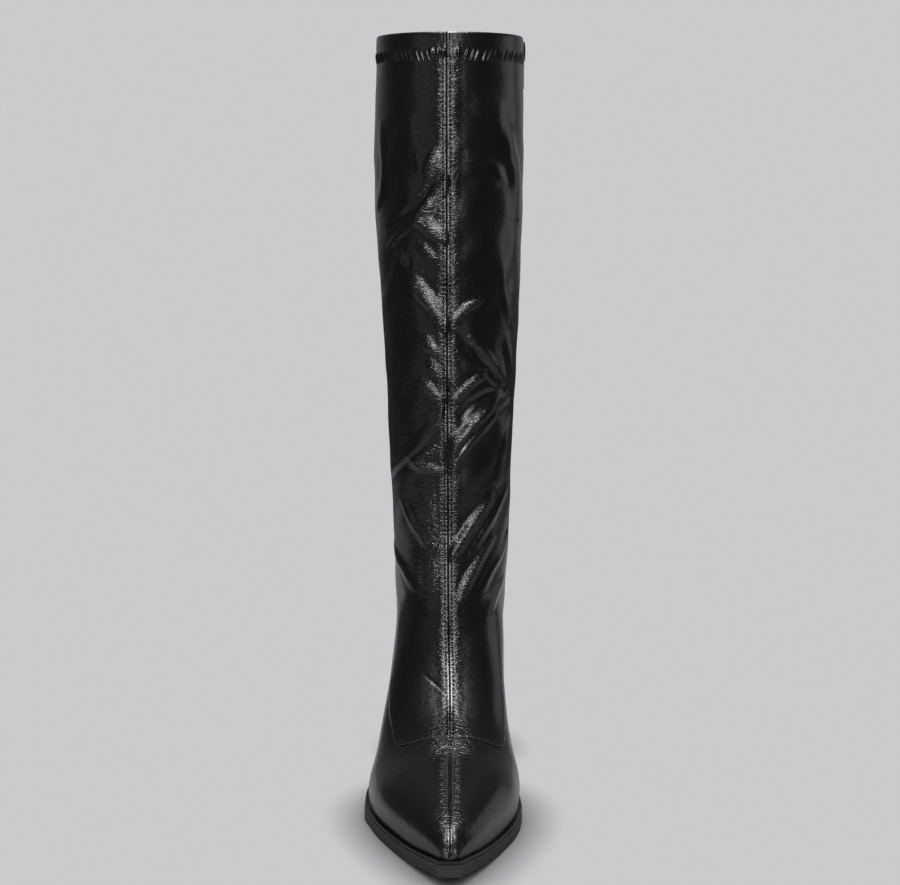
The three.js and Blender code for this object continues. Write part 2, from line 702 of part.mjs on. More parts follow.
// A block given by its size and centre beside the slider: out from the leather, along, and up.
const piece = (out, along, up, thickness, width, length) =>
  block(
    [sliderAlong + along - width / 2, out, sliderUp + up - length / 2],
    [sliderAlong + along + width / 2, out + thickness, sliderUp + up + length / 2],
  );
function makeSlider() {
  const plate = piece(sliderFace, 0, 0, sliderThickness, sliderWidth, sliderLength);
  const bar = piece(sliderTop + bridgeRise, 0, 0, bridgeBar, bridgeWidth, bridgeLength);
  const legs = [-1, 1].map((end) =>
    piece(
      sliderTop - gap,
      0,
      (end * (bridgeLength - bridgeBar)) / 2,
      bridgeRise + bridgeBar + gap,
      bridgeWidth,
      bridgeBar,
    ),
  );
  return legs.reduce((sum, leg) => sum.add(leg), plate.add(bar));
}
function makePull() {
  const thin = pullThickness;
  const low = pinCentre - thin / 2;
  const bottom = -pullLength + pinRadius;
  const middle = (bottom + pinRadius) / 2;
  const tab = piece(low, 0, middle, thin, pullWidth, pullLength);
  const eyeWidth = bridgeWidth + 2 * pullEyeMargin;
  const eye = piece(low - thin, 0, -pullEye / 2 - pinRadius, 3 * thin, eyeWidth, pullEye);
  return tab.subtract(eye);
}

// The materials of the pieces.
const material = (colour, roughness, metalness = 0) =>
  new THREE.MeshStandardMaterial({ color: colour, roughness, metalness });
const leather = material("#121214", 0.28);
const elastic = material("#101012", 0.4);
const rubber = material("#1d1e20", 0.6);
const gloss = material("#0a0a0b", 0.25);
const lining = material("#1b1a1a", 0.9);
const textile = material("#0d0d0e", 0.85);
const metal = material("#2a2a2c", 0.35, 1);

// A named mesh of a solid, without edges too short to make.
function node(name, shape, look) {
  const mesh = shape.simplify(shortestEdge).getMesh();
  const position = new Float32Array(mesh.numVert * 3);
  for (let i = 0; i < mesh.numVert; i += 1) {
    position.set(mesh.vertProperties.subarray(i * mesh.numProp, i * mesh.numProp + 3), i * 3);
  }
  const geometry = new THREE.BufferGeometry()
    .setAttribute("position", new THREE.BufferAttribute(position, 3))
    .setIndex(new THREE.BufferAttribute(new Uint32Array(mesh.triVerts), 1));
  geometry.computeVertexNormals();
  const made = new THREE.Mesh(geometry, look);
  made.name = name;
  return made;
}

const boot = new THREE.Group();
boot.add(
  node("outsole", makeOutsole(), rubber),
  node("welt", makeWelt(), gloss),
  node("insole", makeInsole(), lining),
  node("heel_block", makeHeelBlock(), rubber),
  node("heel_lift", makeHeelLift(), rubber),
  node("upper", makeUpper(), leather),
  node("collar_band", makeCollarBand(), elastic),
  node("zip_tape", makeZipTape(), textile),
  node("zip_teeth", makeZipTeeth(), textile),
  node("zip_slider", makeSlider(), metal),
  node("zip_pull", makePull(), metal),
);
export default boot;
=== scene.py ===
import math

import bmesh
import bpy
import numpy as np
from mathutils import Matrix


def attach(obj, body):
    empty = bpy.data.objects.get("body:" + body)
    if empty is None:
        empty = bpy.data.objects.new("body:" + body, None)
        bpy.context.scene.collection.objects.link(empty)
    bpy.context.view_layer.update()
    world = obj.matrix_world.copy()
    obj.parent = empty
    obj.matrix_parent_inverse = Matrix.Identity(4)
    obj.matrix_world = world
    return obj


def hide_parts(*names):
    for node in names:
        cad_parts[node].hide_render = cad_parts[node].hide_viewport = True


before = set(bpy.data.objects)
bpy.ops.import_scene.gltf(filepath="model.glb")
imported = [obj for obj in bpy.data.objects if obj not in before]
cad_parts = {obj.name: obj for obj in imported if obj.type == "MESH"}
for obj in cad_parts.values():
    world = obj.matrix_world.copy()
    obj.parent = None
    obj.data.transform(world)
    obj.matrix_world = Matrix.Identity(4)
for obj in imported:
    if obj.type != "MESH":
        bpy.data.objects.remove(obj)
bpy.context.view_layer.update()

# The camera stands in front of the toe, a little above the middle of the shaft, and looks slightly down.
# Millimetres are used throughout, and MM turns them into Blender's metres. The toe points to -Y, and the
# boot's inner side is +X.
MM = 0.001
CAMERA_DISTANCE = 1072
CAMERA_HEIGHT = 378.4
CAMERA_DOWN = 9.7
CAMERA_LENS = 70.1
camera_data = bpy.data.cameras.new("camera")
camera_data.lens = CAMERA_LENS
camera = bpy.data.objects.new("camera", camera_data)
camera.location = (0, -CAMERA_DISTANCE * MM, CAMERA_HEIGHT * MM)
camera.rotation_euler = (math.radians(90 - CAMERA_DOWN), 0, 0)
bpy.context.scene.collection.objects.link(camera)
bpy.context.scene.camera = camera


# Outsole: one moulded rubber plate over the whole length, with a pointed outline cut off square at the toe,
# a high arch up to the heel and a little toe spring. Its edge is buffed matt. Its rim has painted shade on
# top: the faces that point up are coloured darker and reflect less.
SHOE_LENGTH = 250
HEEL_SETBACK = 28
BALL_WIDTH = 91.4
SEAT_HEIGHT = 62
TOE_SPRING = 6.2
HEEL_ROUNDNESS = 30
SOLE_THICKNESS = 7.1
LEDGE = 2.2
TOE_TIP = SHOE_LENGTH - HEEL_SETBACK


def smooth_curve(xs, ys):
    """A cubic through the points that never overshoots them: the slope at a point is the weighted harmonic
    mean of the slopes beside it. Past its ends the curve goes on straight."""
    xs = np.asarray(xs, float)
    ys = np.asarray(ys, float)
    span = np.diff(xs)
    slope = np.diff(ys) / span
    heavy = 2 * span[1:] + span[:-1]
    light = span[1:] + 2 * span[:-1]
    turning = slope[:-1] * slope[1:] <= 0
    before = np.where(turning, 1, slope[:-1])
    after = np.where(turning, 1, slope[1:])
    inner = np.where(turning, 0, (heavy + light) / (heavy / before + light / after))
    tangent = np.concatenate(([slope[0]], inner, [slope[-1]]))

    def value(x):
        at = np.clip(x, xs[0], xs[-1])
        i = np.clip(np.searchsorted(xs, at) - 1, 0, len(xs) - 2)
        k = (at - xs[i]) / span[i]
        rest = 1 - k
        inside = (
            ys[i] * (1 + 2 * k) * rest**2
            + tangent[i] * span[i] * k * rest**2
            + ys[i + 1] * k**2 * (3 - 2 * k)
            - tangent[i + 1] * span[i] * k**2 * rest
        )
        return inside + np.where(x < at, tangent[0], tangent[-1]) * (x - at)

    return value


def table(columns, rows):
    """Rows of values under named columns: each row is a dict."""
    return [dict(zip(columns.split(), row)) for row in rows]


def values_of(rows, name):
    return np.array([row[name] for row in rows])


def curves(rows, names):
    """A curve for each name, over the first column of the rows."""
    along = values_of(rows, next(iter(rows[0])))
    return {name: smooth_curve(along, values_of(rows, name)) for name in names}


# back: share of the outsole's length from the heel. lateral, medial: half widths, share of BALL_WIDTH.
OUTLINE_ROWS = table(
    "back lateral medial",
    [
        (0.0, 0.345, 0.343),
        (0.112, 0.345, 0.343),
        (0.192, 0.35, 0.339),
        (0.272, 0.367, 0.328),
        (0.352, 0.41, 0.339),
        (0.432, 0.455, 0.382),
        (0.512, 0.497, 0.415),
        (0.572, 0.53, 0.439),
        (0.612, 0.531, 0.447),
        (0.672, 0.492, 0.434),
        (0.732, 0.436, 0.398),
        (0.792, 0.363, 0.337),
        (0.852, 0.285, 0.268),
        (0.904, 0.212, 0.202),
        (0.944, 0.149, 0.143),
        (0.976, 0.1, 0.098),
        (1.0, 0.068, 0.068),
    ],
)
# rise: share of SEAT_HEIGHT. spring: share of TOE_SPRING. thick: share of SOLE_THICKNESS. reach: of LEDGE.
PROFILE_ROWS = table(
    "back rise spring thick reach",
    [
        (0.0, 1.0, 0, 0.45, 0.6),
        (0.112, 0.961, 0, 0.45, 0.6),
        (0.2, 0.9, 0, 0.45, 0.6),
        (0.272, 0.774, 0, 0.48, 0.6),
        (0.352, 0.576, 0, 0.52, 0.65),
        (0.432, 0.355, 0, 0.58, 0.82),
        (0.504, 0.169, 0, 0.7, 0.97),
        (0.56, 0.055, 0, 0.87, 1),
        (0.608, 0.005, 0, 1, 1),
        (0.632, 0, 0, 1, 1),
        (0.752, 0, 0, 1, 1),
        (0.812, 0, 0.07, 1, 1),
        (0.872, 0, 0.25, 1, 1),
        (0.932, 0, 0.54, 1, 1),
        (1.0, 0, 1, 1, 1),
    ],
)
outline = curves(OUTLINE_ROWS, ("lateral", "medial"))
profile = curves(PROFILE_ROWS, ("rise", "spring", "thick", "reach"))


def share_back(along):
    """Share of the outsole's length behind a place along, which is measured forward of the heel's middle."""
    return np.clip((along + HEEL_SETBACK) / SHOE_LENGTH, 0, 1)


def sole_under(along):
    back = share_back(along)
    return profile["rise"](back) * SEAT_HEIGHT + profile["spring"](back) * TOE_SPRING


def sole_top(along):
    return sole_under(along) + profile["thick"](share_back(along)) * SOLE_THICKNESS


def ledge_at(along):
    return profile["reach"](share_back(along)) * LEDGE


def half_width(along, side, inset=0.0):
    """Half width of the outline drawn in by inset: width - inset * hypot(1, lean), times the round of the
    heel."""
    along = np.asarray(along, float)
    curve = outline["medial"] if side > 0 else outline["lateral"]
    width = [curve((at + HEEL_SETBACK) / SHOE_LENGTH) * BALL_WIDTH for at in (along - 1, along, along + 1)]
    lean = (width[2] - width[0]) / 2
    from_back = (along + HEEL_SETBACK - inset) / (HEEL_ROUNDNESS - inset)
    heel_round = np.sqrt(1 - (1 - np.clip(from_back, 0, 1)) ** 2)
    return (width[1] - inset * np.hypot(1, lean)) * heel_round


def place(along, side, up):
    """Points from distances forward of the heel, to the inner side and up."""
    along, side, up = np.broadcast_arrays(along, side, up)
    return np.stack([side, -along, up], axis=-1)


def grid_quads(rows, columns, wrap=False):
    """Quads between neighbouring points of a grid; wrap joins the last column to the first."""
    numbers = np.arange(rows * columns).reshape(rows, columns)
    right = np.roll(numbers, -1, axis=1) if wrap else numbers[:, 1:]
    left = numbers if wrap else numbers[:, :-1]
    corners = [left[:-1], left[1:], right[1:], right[:-1]]
    return np.stack(corners, axis=-1).reshape(-1, 4)


WELD = 0.002
SLIVER = 0.0001
CRISP = 40


def make_piece(name, points, faces, material, uv=None, values=None):
    """A piece of the boot from points in millimetres. Points that coincide are joined, a closed form is
    turned to face outwards, and edges past CRISP degrees stay sharp. uv is each point's place on the
    leather, in millimetres, and values are numbers for the material to read."""
    mesh = bpy.data.meshes.new(name)
    mesh.from_pydata((points.reshape(-1, 3) * MM).tolist(), [], [list(face) for face in faces])
    if uv is not None:
        layer = mesh.uv_layers.new(name="place")
        corner = np.zeros(len(mesh.loops), int)
        mesh.loops.foreach_get("vertex_index", corner)
        layer.data.foreach_set("uv", (uv.reshape(-1, 2)[corner] * MM).ravel())
    for key, value in (values or {}).items():
        mesh.attributes.new(key, "FLOAT", "POINT").data.foreach_set("value", value.ravel())
    welded = bmesh.new()
    welded.from_mesh(mesh)
    bmesh.ops.remove_doubles(welded, verts=welded.verts, dist=WELD * MM)
    bmesh.ops.dissolve_degenerate(welded, edges=welded.edges, dist=SLIVER * MM)
    if welded.calc_volume(signed=True) < 0:
        bmesh.ops.reverse_faces(welded, faces=welded.faces)
    welded.to_mesh(mesh)
    welded.free()
    mesh.polygons.foreach_set("use_smooth", np.ones(len(mesh.polygons), bool))
    mesh.set_sharp_from_angle(angle=math.radians(CRISP))
    mesh.materials.append(material)
    made = bpy.data.objects.new(name, mesh)
    bpy.context.scene.collection.objects.link(made)
    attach(made, "boot")
    return made


def closed_piece(name, rings, material):
    """A piece from rings of points, each joined to the next and round to itself."""
    return make_piece(name, rings, grid_quads(*rings.shape[:2], wrap=True), material)


EDGE_POINTS = 4
ACROSS_POINTS = 24


def rounded_edge(reach, bottom, top, radius):
    """One side of a plate's section: from under its edge round to over it, with quarter circles of
    radius."""
    turn = np.linspace(0, math.pi / 2, EDGE_POINTS)
    reach, bottom, top = (value[:, None] for value in (reach, bottom, top))
    radius = np.minimum(radius, np.maximum(reach, 0.01) * 0.5)
    flat = reach - radius
    side = np.concatenate([flat + radius * np.sin(turn), flat + radius * np.cos(turn)], axis=1)
    under = bottom + radius - radius * np.cos(turn)
    over = top - radius + radius * np.sin(turn)
    return side, np.concatenate([under, over], axis=1)


def sole_places(start, end, count):
    """Places along the sole, closer together at its round back and at the toe: the share of the way is
    k - sin(2 pi k) / (4 pi) for even k."""
    share = np.linspace(0, 1, count)
    crowded = share - 0.5 * np.sin(2 * math.pi * share) / (2 * math.pi)
    return start + (end - start) * crowded


def close_ends(rings, centres):
    """The rings with the first and the last closed by their centres."""
    closing = np.repeat(centres, rings.shape[1], axis=1)
    return np.concatenate([closing[:1], rings, closing[-1:]], axis=0)


def sole_plate(places, inset, low, high, radius):
    """A plate that follows the sole: each section goes round the inner edge, over the top to the outer edge
    and back underneath. The first and last sections are drawn together to close the ends."""
    bottom, top = low(places), high(places)
    edges = []
    for side in (1, -1):
        reach = np.maximum(half_width(places, side, inset), 0.02)
        edges.append(rounded_edge(reach, bottom, top, radius))
    (inner_side, inner_up), (outer_side, outer_up) = edges
    share = np.linspace(0, 1, ACROSS_POINTS)[1:-1]
    over = inner_side[:, -1:] + (-outer_side[:, -1:] - inner_side[:, -1:]) * share
    under = -outer_side[:, :1] + (inner_side[:, :1] + outer_side[:, :1]) * share
    side = np.concatenate([inner_side, over, -outer_side[:, ::-1], under], axis=1)
    top_row, bottom_row = (np.repeat(level[:, None], ACROSS_POINTS - 2, 1) for level in (top, bottom))
    up = np.concatenate([inner_up, top_row, outer_up[:, ::-1], bottom_row], axis=1)
    rings = place(places[:, None], side, up)
    return close_ends(rings, rings.mean(axis=1, keepdims=True))


def new_material(name, **sockets):
    """A material whose Principled shader has its plain sockets set by name."""
    made = bpy.data.materials.new(name)
    made.use_nodes = True
    shader = made.node_tree.nodes["Principled BSDF"]
    for socket, value in sockets.items():
        shader.inputs[socket.replace("_", " ")].default_value = value
    return made


def add_node(owner, kind, **settings):
    """A node of that kind in a material, world or node group, with its settings and plain sockets."""
    tree = getattr(owner, "node_tree", owner)
    node = tree.nodes.new(kind)
    for key, value in settings.items():
        if hasattr(node, key):
            setattr(node, key, value)
        else:
            node.inputs[key.replace("_", " ")].default_value = value
    return node


def link(owner, source, target):
    getattr(owner, "node_tree", owner).links.new(source, target)


def feed(material, **sources):
    """Link values to the sockets of the material's Principled shader, by name."""
    for socket, source in sources.items():
        link(material, source, material.node_tree.nodes["Principled BSDF"].inputs[socket.replace("_", " ")])


def remap(owner, value, **limits):
    """A value carried from 0 to 1, or from From_Min to From_Max, over to the range To_Min to To_Max."""
    node = add_node(owner, "ShaderNodeMapRange", **limits)
    link(owner, value, node.inputs["Value"])
    return node.outputs["Result"]


def attribute(material, name):
    return add_node(material, "ShaderNodeAttribute", attribute_name=name).outputs["Fac"]


def texture_group(name, kind, height, knobs, **settings):
    """A node group that several finishes use: one texture on the object's own coordinates. Its inputs are
    the texture's sockets in knobs, and it puts out the texture's height, from 0 to 1."""
    group = bpy.data.node_groups.new(name, "ShaderNodeTree")
    for knob, value in knobs.items():
        socket = group.interface.new_socket(knob, in_out="INPUT", socket_type="NodeSocketFloat")
        socket.default_value = value
    group.interface.new_socket("Height", in_out="OUTPUT", socket_type="NodeSocketFloat")
    place_node = add_node(group, "ShaderNodeTexCoord")
    texture = add_node(group, kind, **settings)
    entry = add_node(group, "NodeGroupInput")
    link(group, place_node.outputs["Object"], texture.inputs["Vector"])
    for knob in knobs:
        link(group, entry.outputs[knob], texture.inputs[knob])
    link(group, texture.outputs[height], add_node(group, "NodeGroupOutput").inputs["Height"])
    return group


def texture_height(material, group, **knobs):
    """The height from a texture group that is placed in the material with its own values."""
    return add_node(material, "ShaderNodeGroup", node_tree=group, **knobs).outputs["Height"]


def add_bump(material, height, distance, before=None):
    """Bump from a height between 0 and 1, distance in millimetres; before is another bump's normal."""
    bump = add_node(material, "ShaderNodeBump", Distance=distance * MM)
    link(material, height, bump.inputs["Height"])
    if before is not None:
        link(material, before, bump.inputs["Normal"])
    return bump.outputs["Normal"]


grain = texture_group("grain", "ShaderNodeTexNoise", "Fac", {"Scale": 1000, "Detail": 3, "Roughness": 0.5})
rubber = new_material("rubber", Base_Color=(0.02, 0.02, 0.021, 1), Roughness=0.55)
# Painted shade: where the outsole's faces point up, the colour is darkened and the reflection turned down,
# as if in the upper's shadow.
top_shade = attribute(rubber, "top_shade")
feed(
    rubber,
    Roughness=remap(rubber, texture_height(rubber, grain, Scale=90, Detail=4), To_Min=0.45, To_Max=0.68),
    Normal=add_bump(rubber, texture_height(rubber, grain, Scale=2600), 0.05),
    Specular_IOR_Level=remap(rubber, top_shade, From_Min=0.55, From_Max=0.95, To_Min=0.45, To_Max=0.0),
    Base_Color=remap(rubber, top_shade, From_Min=0.55, From_Max=0.95, To_Min=0.02, To_Max=0.001),
)

SOLE_EDGE_ROUND = 0.45
END_ROOM = 0.02
outsole_places = sole_places(-HEEL_SETBACK + END_ROOM, TOE_TIP, 320)
outsole_rings = sole_plate(outsole_places, 0, sole_under, sole_top, SOLE_EDGE_ROUND)
outsole = closed_piece("outsole_rubber", outsole_rings, rubber)
# The painted shade's mask: how far each point of the outsole faces up.
outsole_top_shade = outsole.data.attributes.new("top_shade", "FLOAT", "POINT")
outsole_top_shade.data.foreach_set("value", [point.normal.z for point in outsole.data.vertices])
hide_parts("outsole")


# Welt: a thin strip of glossy black leather board on the rim of the outsole, all round, that the upper
# stands on. It is cemented to the sole and cut back a hair from its edge.
GAP = 0.3
WELT_THICKNESS = 1.3
WELT_INSET = 0.3
WELT_ROUND = 0.5
WELT_SUNK = 0.1


def welt_under(along):
    return sole_top(along) - WELT_SUNK


def welt_top(along):
    return sole_top(along) + GAP + WELT_THICKNESS


def feather_height(along):
    return welt_top(along) + GAP


gloss = new_material("welt_gloss", Base_Color=(0.004, 0.004, 0.0045, 1), Roughness=0.3)
feed(gloss, Normal=add_bump(gloss, texture_height(gloss, grain, Scale=700), 0.06))
welt_places = sole_places(-HEEL_SETBACK + WELT_INSET + END_ROOM, TOE_TIP - WELT_INSET, 300)
welt_rings = sole_plate(welt_places, WELT_INSET, welt_under, welt_top, WELT_ROUND)
welt = closed_piece("welt_strip", welt_rings, gloss)
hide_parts("welt")


# Heel: a moulded block under the seat, its sides drawn in a little between top and ground, covered in black,
# on a lift of hard rubber that is nailed and glued to its foot.
LIFT_THICKNESS = 6
HEEL_INSET = 0.6
HEEL_FOOT_WIDTH = 50
HEEL_FOOT_LENGTH = 46
HEEL_BREAST = 26
HEEL_WAIST = 1.2
HEEL_COLUMNS = 60
EDGE_LEVELS = (0.004, 0.012)
EASE_IN = 0.1


def heel_side(k, side, level):
    """The heel's side at k from its back (0) to its breast (1), at a level from the ground (0) to the
    outsole (1)."""
    top = -HEEL_SETBACK + HEEL_INSET + k * (HEEL_BREAST + HEEL_SETBACK - HEEL_INSET)
    ground = (k - 0.5) * HEEL_FOOT_LENGTH
    heel_round = np.sqrt(1 - (1 - np.minimum(k * HEEL_FOOT_LENGTH / (HEEL_FOOT_WIDTH / 2), 1)) ** 2)
    ground_width = HEEL_FOOT_WIDTH / 2 * heel_round
    top_width = half_width(top, side, HEEL_INSET)
    waist = HEEL_WAIST * np.sin(math.pi * level) * heel_round
    return place(
        ground + (top - ground) * level,
        side * (ground_width + (top_width - ground_width) * level - waist),
        level * sole_under(top),
    )


def heel_part(low, high, count, edge):
    """The heel between two levels, closed over and under. Its edges are rounded by drawing the end rings in
    by edge, and the next rings by EASE_IN."""
    k = 0.001 + 0.999 * np.linspace(0, 1, HEEL_COLUMNS) ** 2
    first, second = EDGE_LEVELS
    body = np.linspace(low + second, high - second, count)
    levels = np.concatenate([[low, low + first], body, [high - first, high]])
    draw_in = np.concatenate([[edge, EASE_IN], np.zeros(count), [EASE_IN, edge]])
    inner = heel_side(k[None, :], 1, levels[:, None])
    outer = heel_side(k[None, :], -1, levels[:, None])
    across = np.linspace(0, 1, ACROSS_POINTS)[1:-1][None, :, None]
    breast = inner[:, -1:] + (outer[:, -1:] - inner[:, -1:]) * across
    ring = np.concatenate([inner, breast, outer[:, ::-1]], axis=1)
    centre = ring.mean(axis=1, keepdims=True)
    away = ring - centre
    flat = np.linalg.norm(away[..., :2], axis=-1, keepdims=True)
    drawn = ring - away * np.array([1, 1, 0]) / np.maximum(flat, 1) * draw_in[:, None, None]
    return close_ends(drawn, centre)


BLOCK_EDGE = 0.35
LIFT_EDGE = 0.5
LIFT_LEVEL = LIFT_THICKNESS / SEAT_HEIGHT
heel_cover = new_material("heel_cover", Base_Color=(0.016, 0.016, 0.017, 1), Roughness=0.42)
feed(heel_cover, Normal=add_bump(heel_cover, texture_height(heel_cover, grain, Scale=1500, Detail=4), 0.05))
block_rings = heel_part(LIFT_LEVEL + GAP / SEAT_HEIGHT, 1.0, 40, BLOCK_EDGE)
heel_block = closed_piece("heel_block_cover", block_rings, heel_cover)
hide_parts("heel_block")
heel_lift = closed_piece("heel_lift_rubber", heel_part(0.0, LIFT_LEVEL, 6, LIFT_EDGE), rubber)
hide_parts("heel_lift")


# Insole: a board with a thin sock of black textile on it, glued in on the outsole. It keeps its own solid.
pores = texture_group("pores", "ShaderNodeTexVoronoi", "Distance", {"Scale": 1000})
lining = new_material("lining", Base_Color=(0.02, 0.019, 0.019, 1), Roughness=0.85)
feed(lining, Normal=add_bump(lining, texture_height(lining, pores, Scale=1800), 0.12))


def refinish(node, material):
    """A CAD node that stays as it is, in another material."""
    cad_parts[node].data.materials.clear()
    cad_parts[node].data.materials.append(material)


refinish("insole", lining)


# Upper: thin black leather, cut as a vamp, a front panel in two halves and two quarters. Its sections are
# carried from the toe (station 0) over the instep to the collar. The feather line is where it meets the
# welt.
BALL_HEIGHT = 38.3
BOOT_HEIGHT = 440
ANKLE_HEIGHT = 150
CALF_DEPTH = 125
CALF_WIDTH = 90
# front, foot: share of TOE_TIP. rise: share of BALL_HEIGHT above the feather line. lateral, medial: half
# widths, share of BALL_WIDTH. widest: share of the way down. round: power of the superellipse.
FOOT_ROWS = table(
    "front foot rise lateral medial widest round_lateral round_medial",
    [
        (0.9847, 0.9833, 0.08, 0.049, 0.049, 0.5, 2, 2),
        (0.9802, 0.9775, 0.165, 0.06, 0.06, 0.55, 2, 2),
        (0.9662, 0.9595, 0.262, 0.089, 0.087, 0.6, 2, 2),
        (0.9414, 0.928, 0.378, 0.137, 0.131, 0.66, 2, 2.1),
        (0.9009, 0.883, 0.49, 0.2, 0.187, 0.7, 2, 2.2),
        (0.8378, 0.8153, 0.62, 0.287, 0.26, 0.72, 2, 2.3),
        (0.7568, 0.7275, 0.745, 0.391, 0.346, 0.74, 2.05, 2.4),
        (0.6667, 0.6284, 0.865, 0.475, 0.415, 0.8, 2, 2.4),
        (0.5721, 0.5225, 1.0, 0.51, 0.437, 0.85, 1.95, 2.3),
    ],
)
# The instep's sections fan round to the heel. foot: share of the way to the heel's back where negative.
# up: share of ANKLE_HEIGHT. tuck: degrees that the section curls in. square: how late it does.
FAN_ROWS = table(
    "front foot up lateral medial widest round_lateral round_medial tuck square",
    [
        (0.5, 0.4324, 0.363, 0.468, 0.4, 0.76, 2, 2.35, 60, 1),
        (0.4369, 0.3423, 0.43, 0.438, 0.373, 0.7, 2.05, 2.25, 60, 1),
        (0.3874, 0.2342, 0.51, 0.398, 0.355, 0.6, 2.1, 2.2, 60, 1),
        (0.3468, 0.1171, 0.6, 0.372, 0.351, 0.55, 2.1, 2.15, 60, 1),
        (0.3153, 0.009, 0.69, 0.357, 0.351, 0.5, 2.1, 2.1, 64, 1),
        (0.2982, -0.54, 0.747, 0.3535, 0.352, 0.5, 2.1, 2.1, 74, 1),
        (0.2856, -1, 0.803, 0.356, 0.3565, 0.5, 2.1, 2.1, 90, 1.22),
    ],
)
# up, above: heights of the front and the back, share of the way from ANKLE_HEIGHT to BOOT_HEIGHT. front,
# back: share of CALF_DEPTH. lateral, medial: share of CALF_WIDTH.
LEG_ROWS = table(
    "up above front back lateral medial widest square",
    [
        (-0.127, -0.445, 0.4856, 0.23, 0.366, 0.372, 0.5, 1.17),
        (-0.06, -0.34, 0.4712, 0.234, 0.37, 0.383, 0.5, 1.1),
        (0.007, -0.225, 0.464, 0.222, 0.375, 0.391, 0.5, 1),
        (0.048, -0.095, 0.462, 0.203, 0.379, 0.397, 0.5, 1),
        (0.1, 0.035, 0.463, 0.194, 0.388, 0.404, 0.49, 1),
        (0.16, 0.125, 0.465, 0.216, 0.404, 0.409, 0.48, 1),
        (0.26, 0.25, 0.47, 0.286, 0.415, 0.428, 0.47, 1),
        (0.38, 0.38, 0.479, 0.366, 0.437, 0.448, 0.46, 1),
        (0.52, 0.52, 0.49, 0.434, 0.468, 0.466, 0.46, 1),
        (0.66, 0.66, 0.501, 0.478, 0.496, 0.479, 0.46, 1),
        (0.78, 0.78, 0.51, 0.488, 0.499, 0.483, 0.46, 1),
        (0.88, 0.88, 0.516, 0.487, 0.486, 0.479, 0.46, 1),
        (0.95, 0.95, 0.519, 0.483, 0.477, 0.475, 0.46, 1),
        (1.0, 1.0, 0.52, 0.48, 0.471, 0.468, 0.46, 1),
    ],
)
FOOT_TUCK = 60
LEG_TUCK = 90
LEG_ROUND = 2.1
sections = []


def leg_height(share):
    """Height on the leg; a negative share goes down from the ankle."""
    if share < 0:
        return ANKLE_HEIGHT * (1 + share)
    return ANKLE_HEIGHT + share * (BOOT_HEIGHT - ANKLE_HEIGHT)


def feather_at(along):
    return float(feather_height(np.array(along)))


def add_section(row, width, front, front_up, back, back_up, **rest):
    """Add a row's section, with its front and back points and its half widths in millimetres."""
    ends = {"front_along": front, "front_up": front_up, "back_along": back, "back_up": back_up}
    sections.append(row | rest | ends | {side: row[side] * width for side in ("lateral", "medial")})


for row in FOOT_ROWS:
    front, back = row["front"] * TOE_TIP, row["foot"] * TOE_TIP
    front_up = feather_at(front) + row["rise"] * BALL_HEIGHT
    add_section(row, BALL_WIDTH, front, front_up, back, feather_at(back), tuck=FOOT_TUCK, square=1)
heel_end = -HEEL_SETBACK + float(ledge_at(np.array(-HEEL_SETBACK)))
for row in FAN_ROWS:
    back = row["foot"] * (-heel_end if row["foot"] < 0 else TOE_TIP)
    add_section(row, BALL_WIDTH, row["front"] * TOE_TIP, row["up"] * ANKLE_HEIGHT, back, feather_at(back))
leg_shape = {"round_lateral": LEG_ROUND, "round_medial": LEG_ROUND, "tuck": LEG_TUCK}
for row in LEG_ROWS:
    front, back = row["front"] * CALF_DEPTH, -row["back"] * CALF_DEPTH
    front_up, back_up = (leg_height(row[level]) for level in ("up", "above"))
    add_section(row, CALF_WIDTH, front, front_up, back, back_up, **leg_shape)
THROAT = len(FOOT_ROWS) - 1
SEAT_CORNER = THROAT + len(FAN_ROWS)
COLLAR = len(sections) - 1
SOFTEN = 0.35
CAP_REACH = 1.1


def section_curve(name, soften):
    """A value of the sections as a curve over the stations, averaged with itself soften either side."""
    curve = smooth_curve(np.arange(COLLAR + 1), values_of(sections, name))
    return lambda at: (curve(at - soften) + 2 * curve(at) + curve(at + soften)) / 4


SOFT_VALUES = ("front_along", "front_up", "lateral", "medial", "widest", "round_lateral", "round_medial")
section_curves = {name: section_curve(name, SOFTEN) for name in SOFT_VALUES}
section_curves |= {name: section_curve(name, 0) for name in ("tuck", "square")}


def resting_curve(name, start, end):
    """The back end's curve, which comes to rest at the seat's corner, where it leaves the sole."""
    stations = list(range(start, end + 1))
    values = [sections[station][name] for station in stations]
    if start == SEAT_CORNER:
        return smooth_curve([start - 1, *stations], [values[0], *values])
    return smooth_curve([*stations, end + 1], [*values, values[-1]])


back_on_sole = resting_curve("back_along", 0, SEAT_CORNER)
back_above = resting_curve("back_along", SEAT_CORNER, COLLAR)
back_height = resting_curve("back_up", SEAT_CORNER, COLLAR)


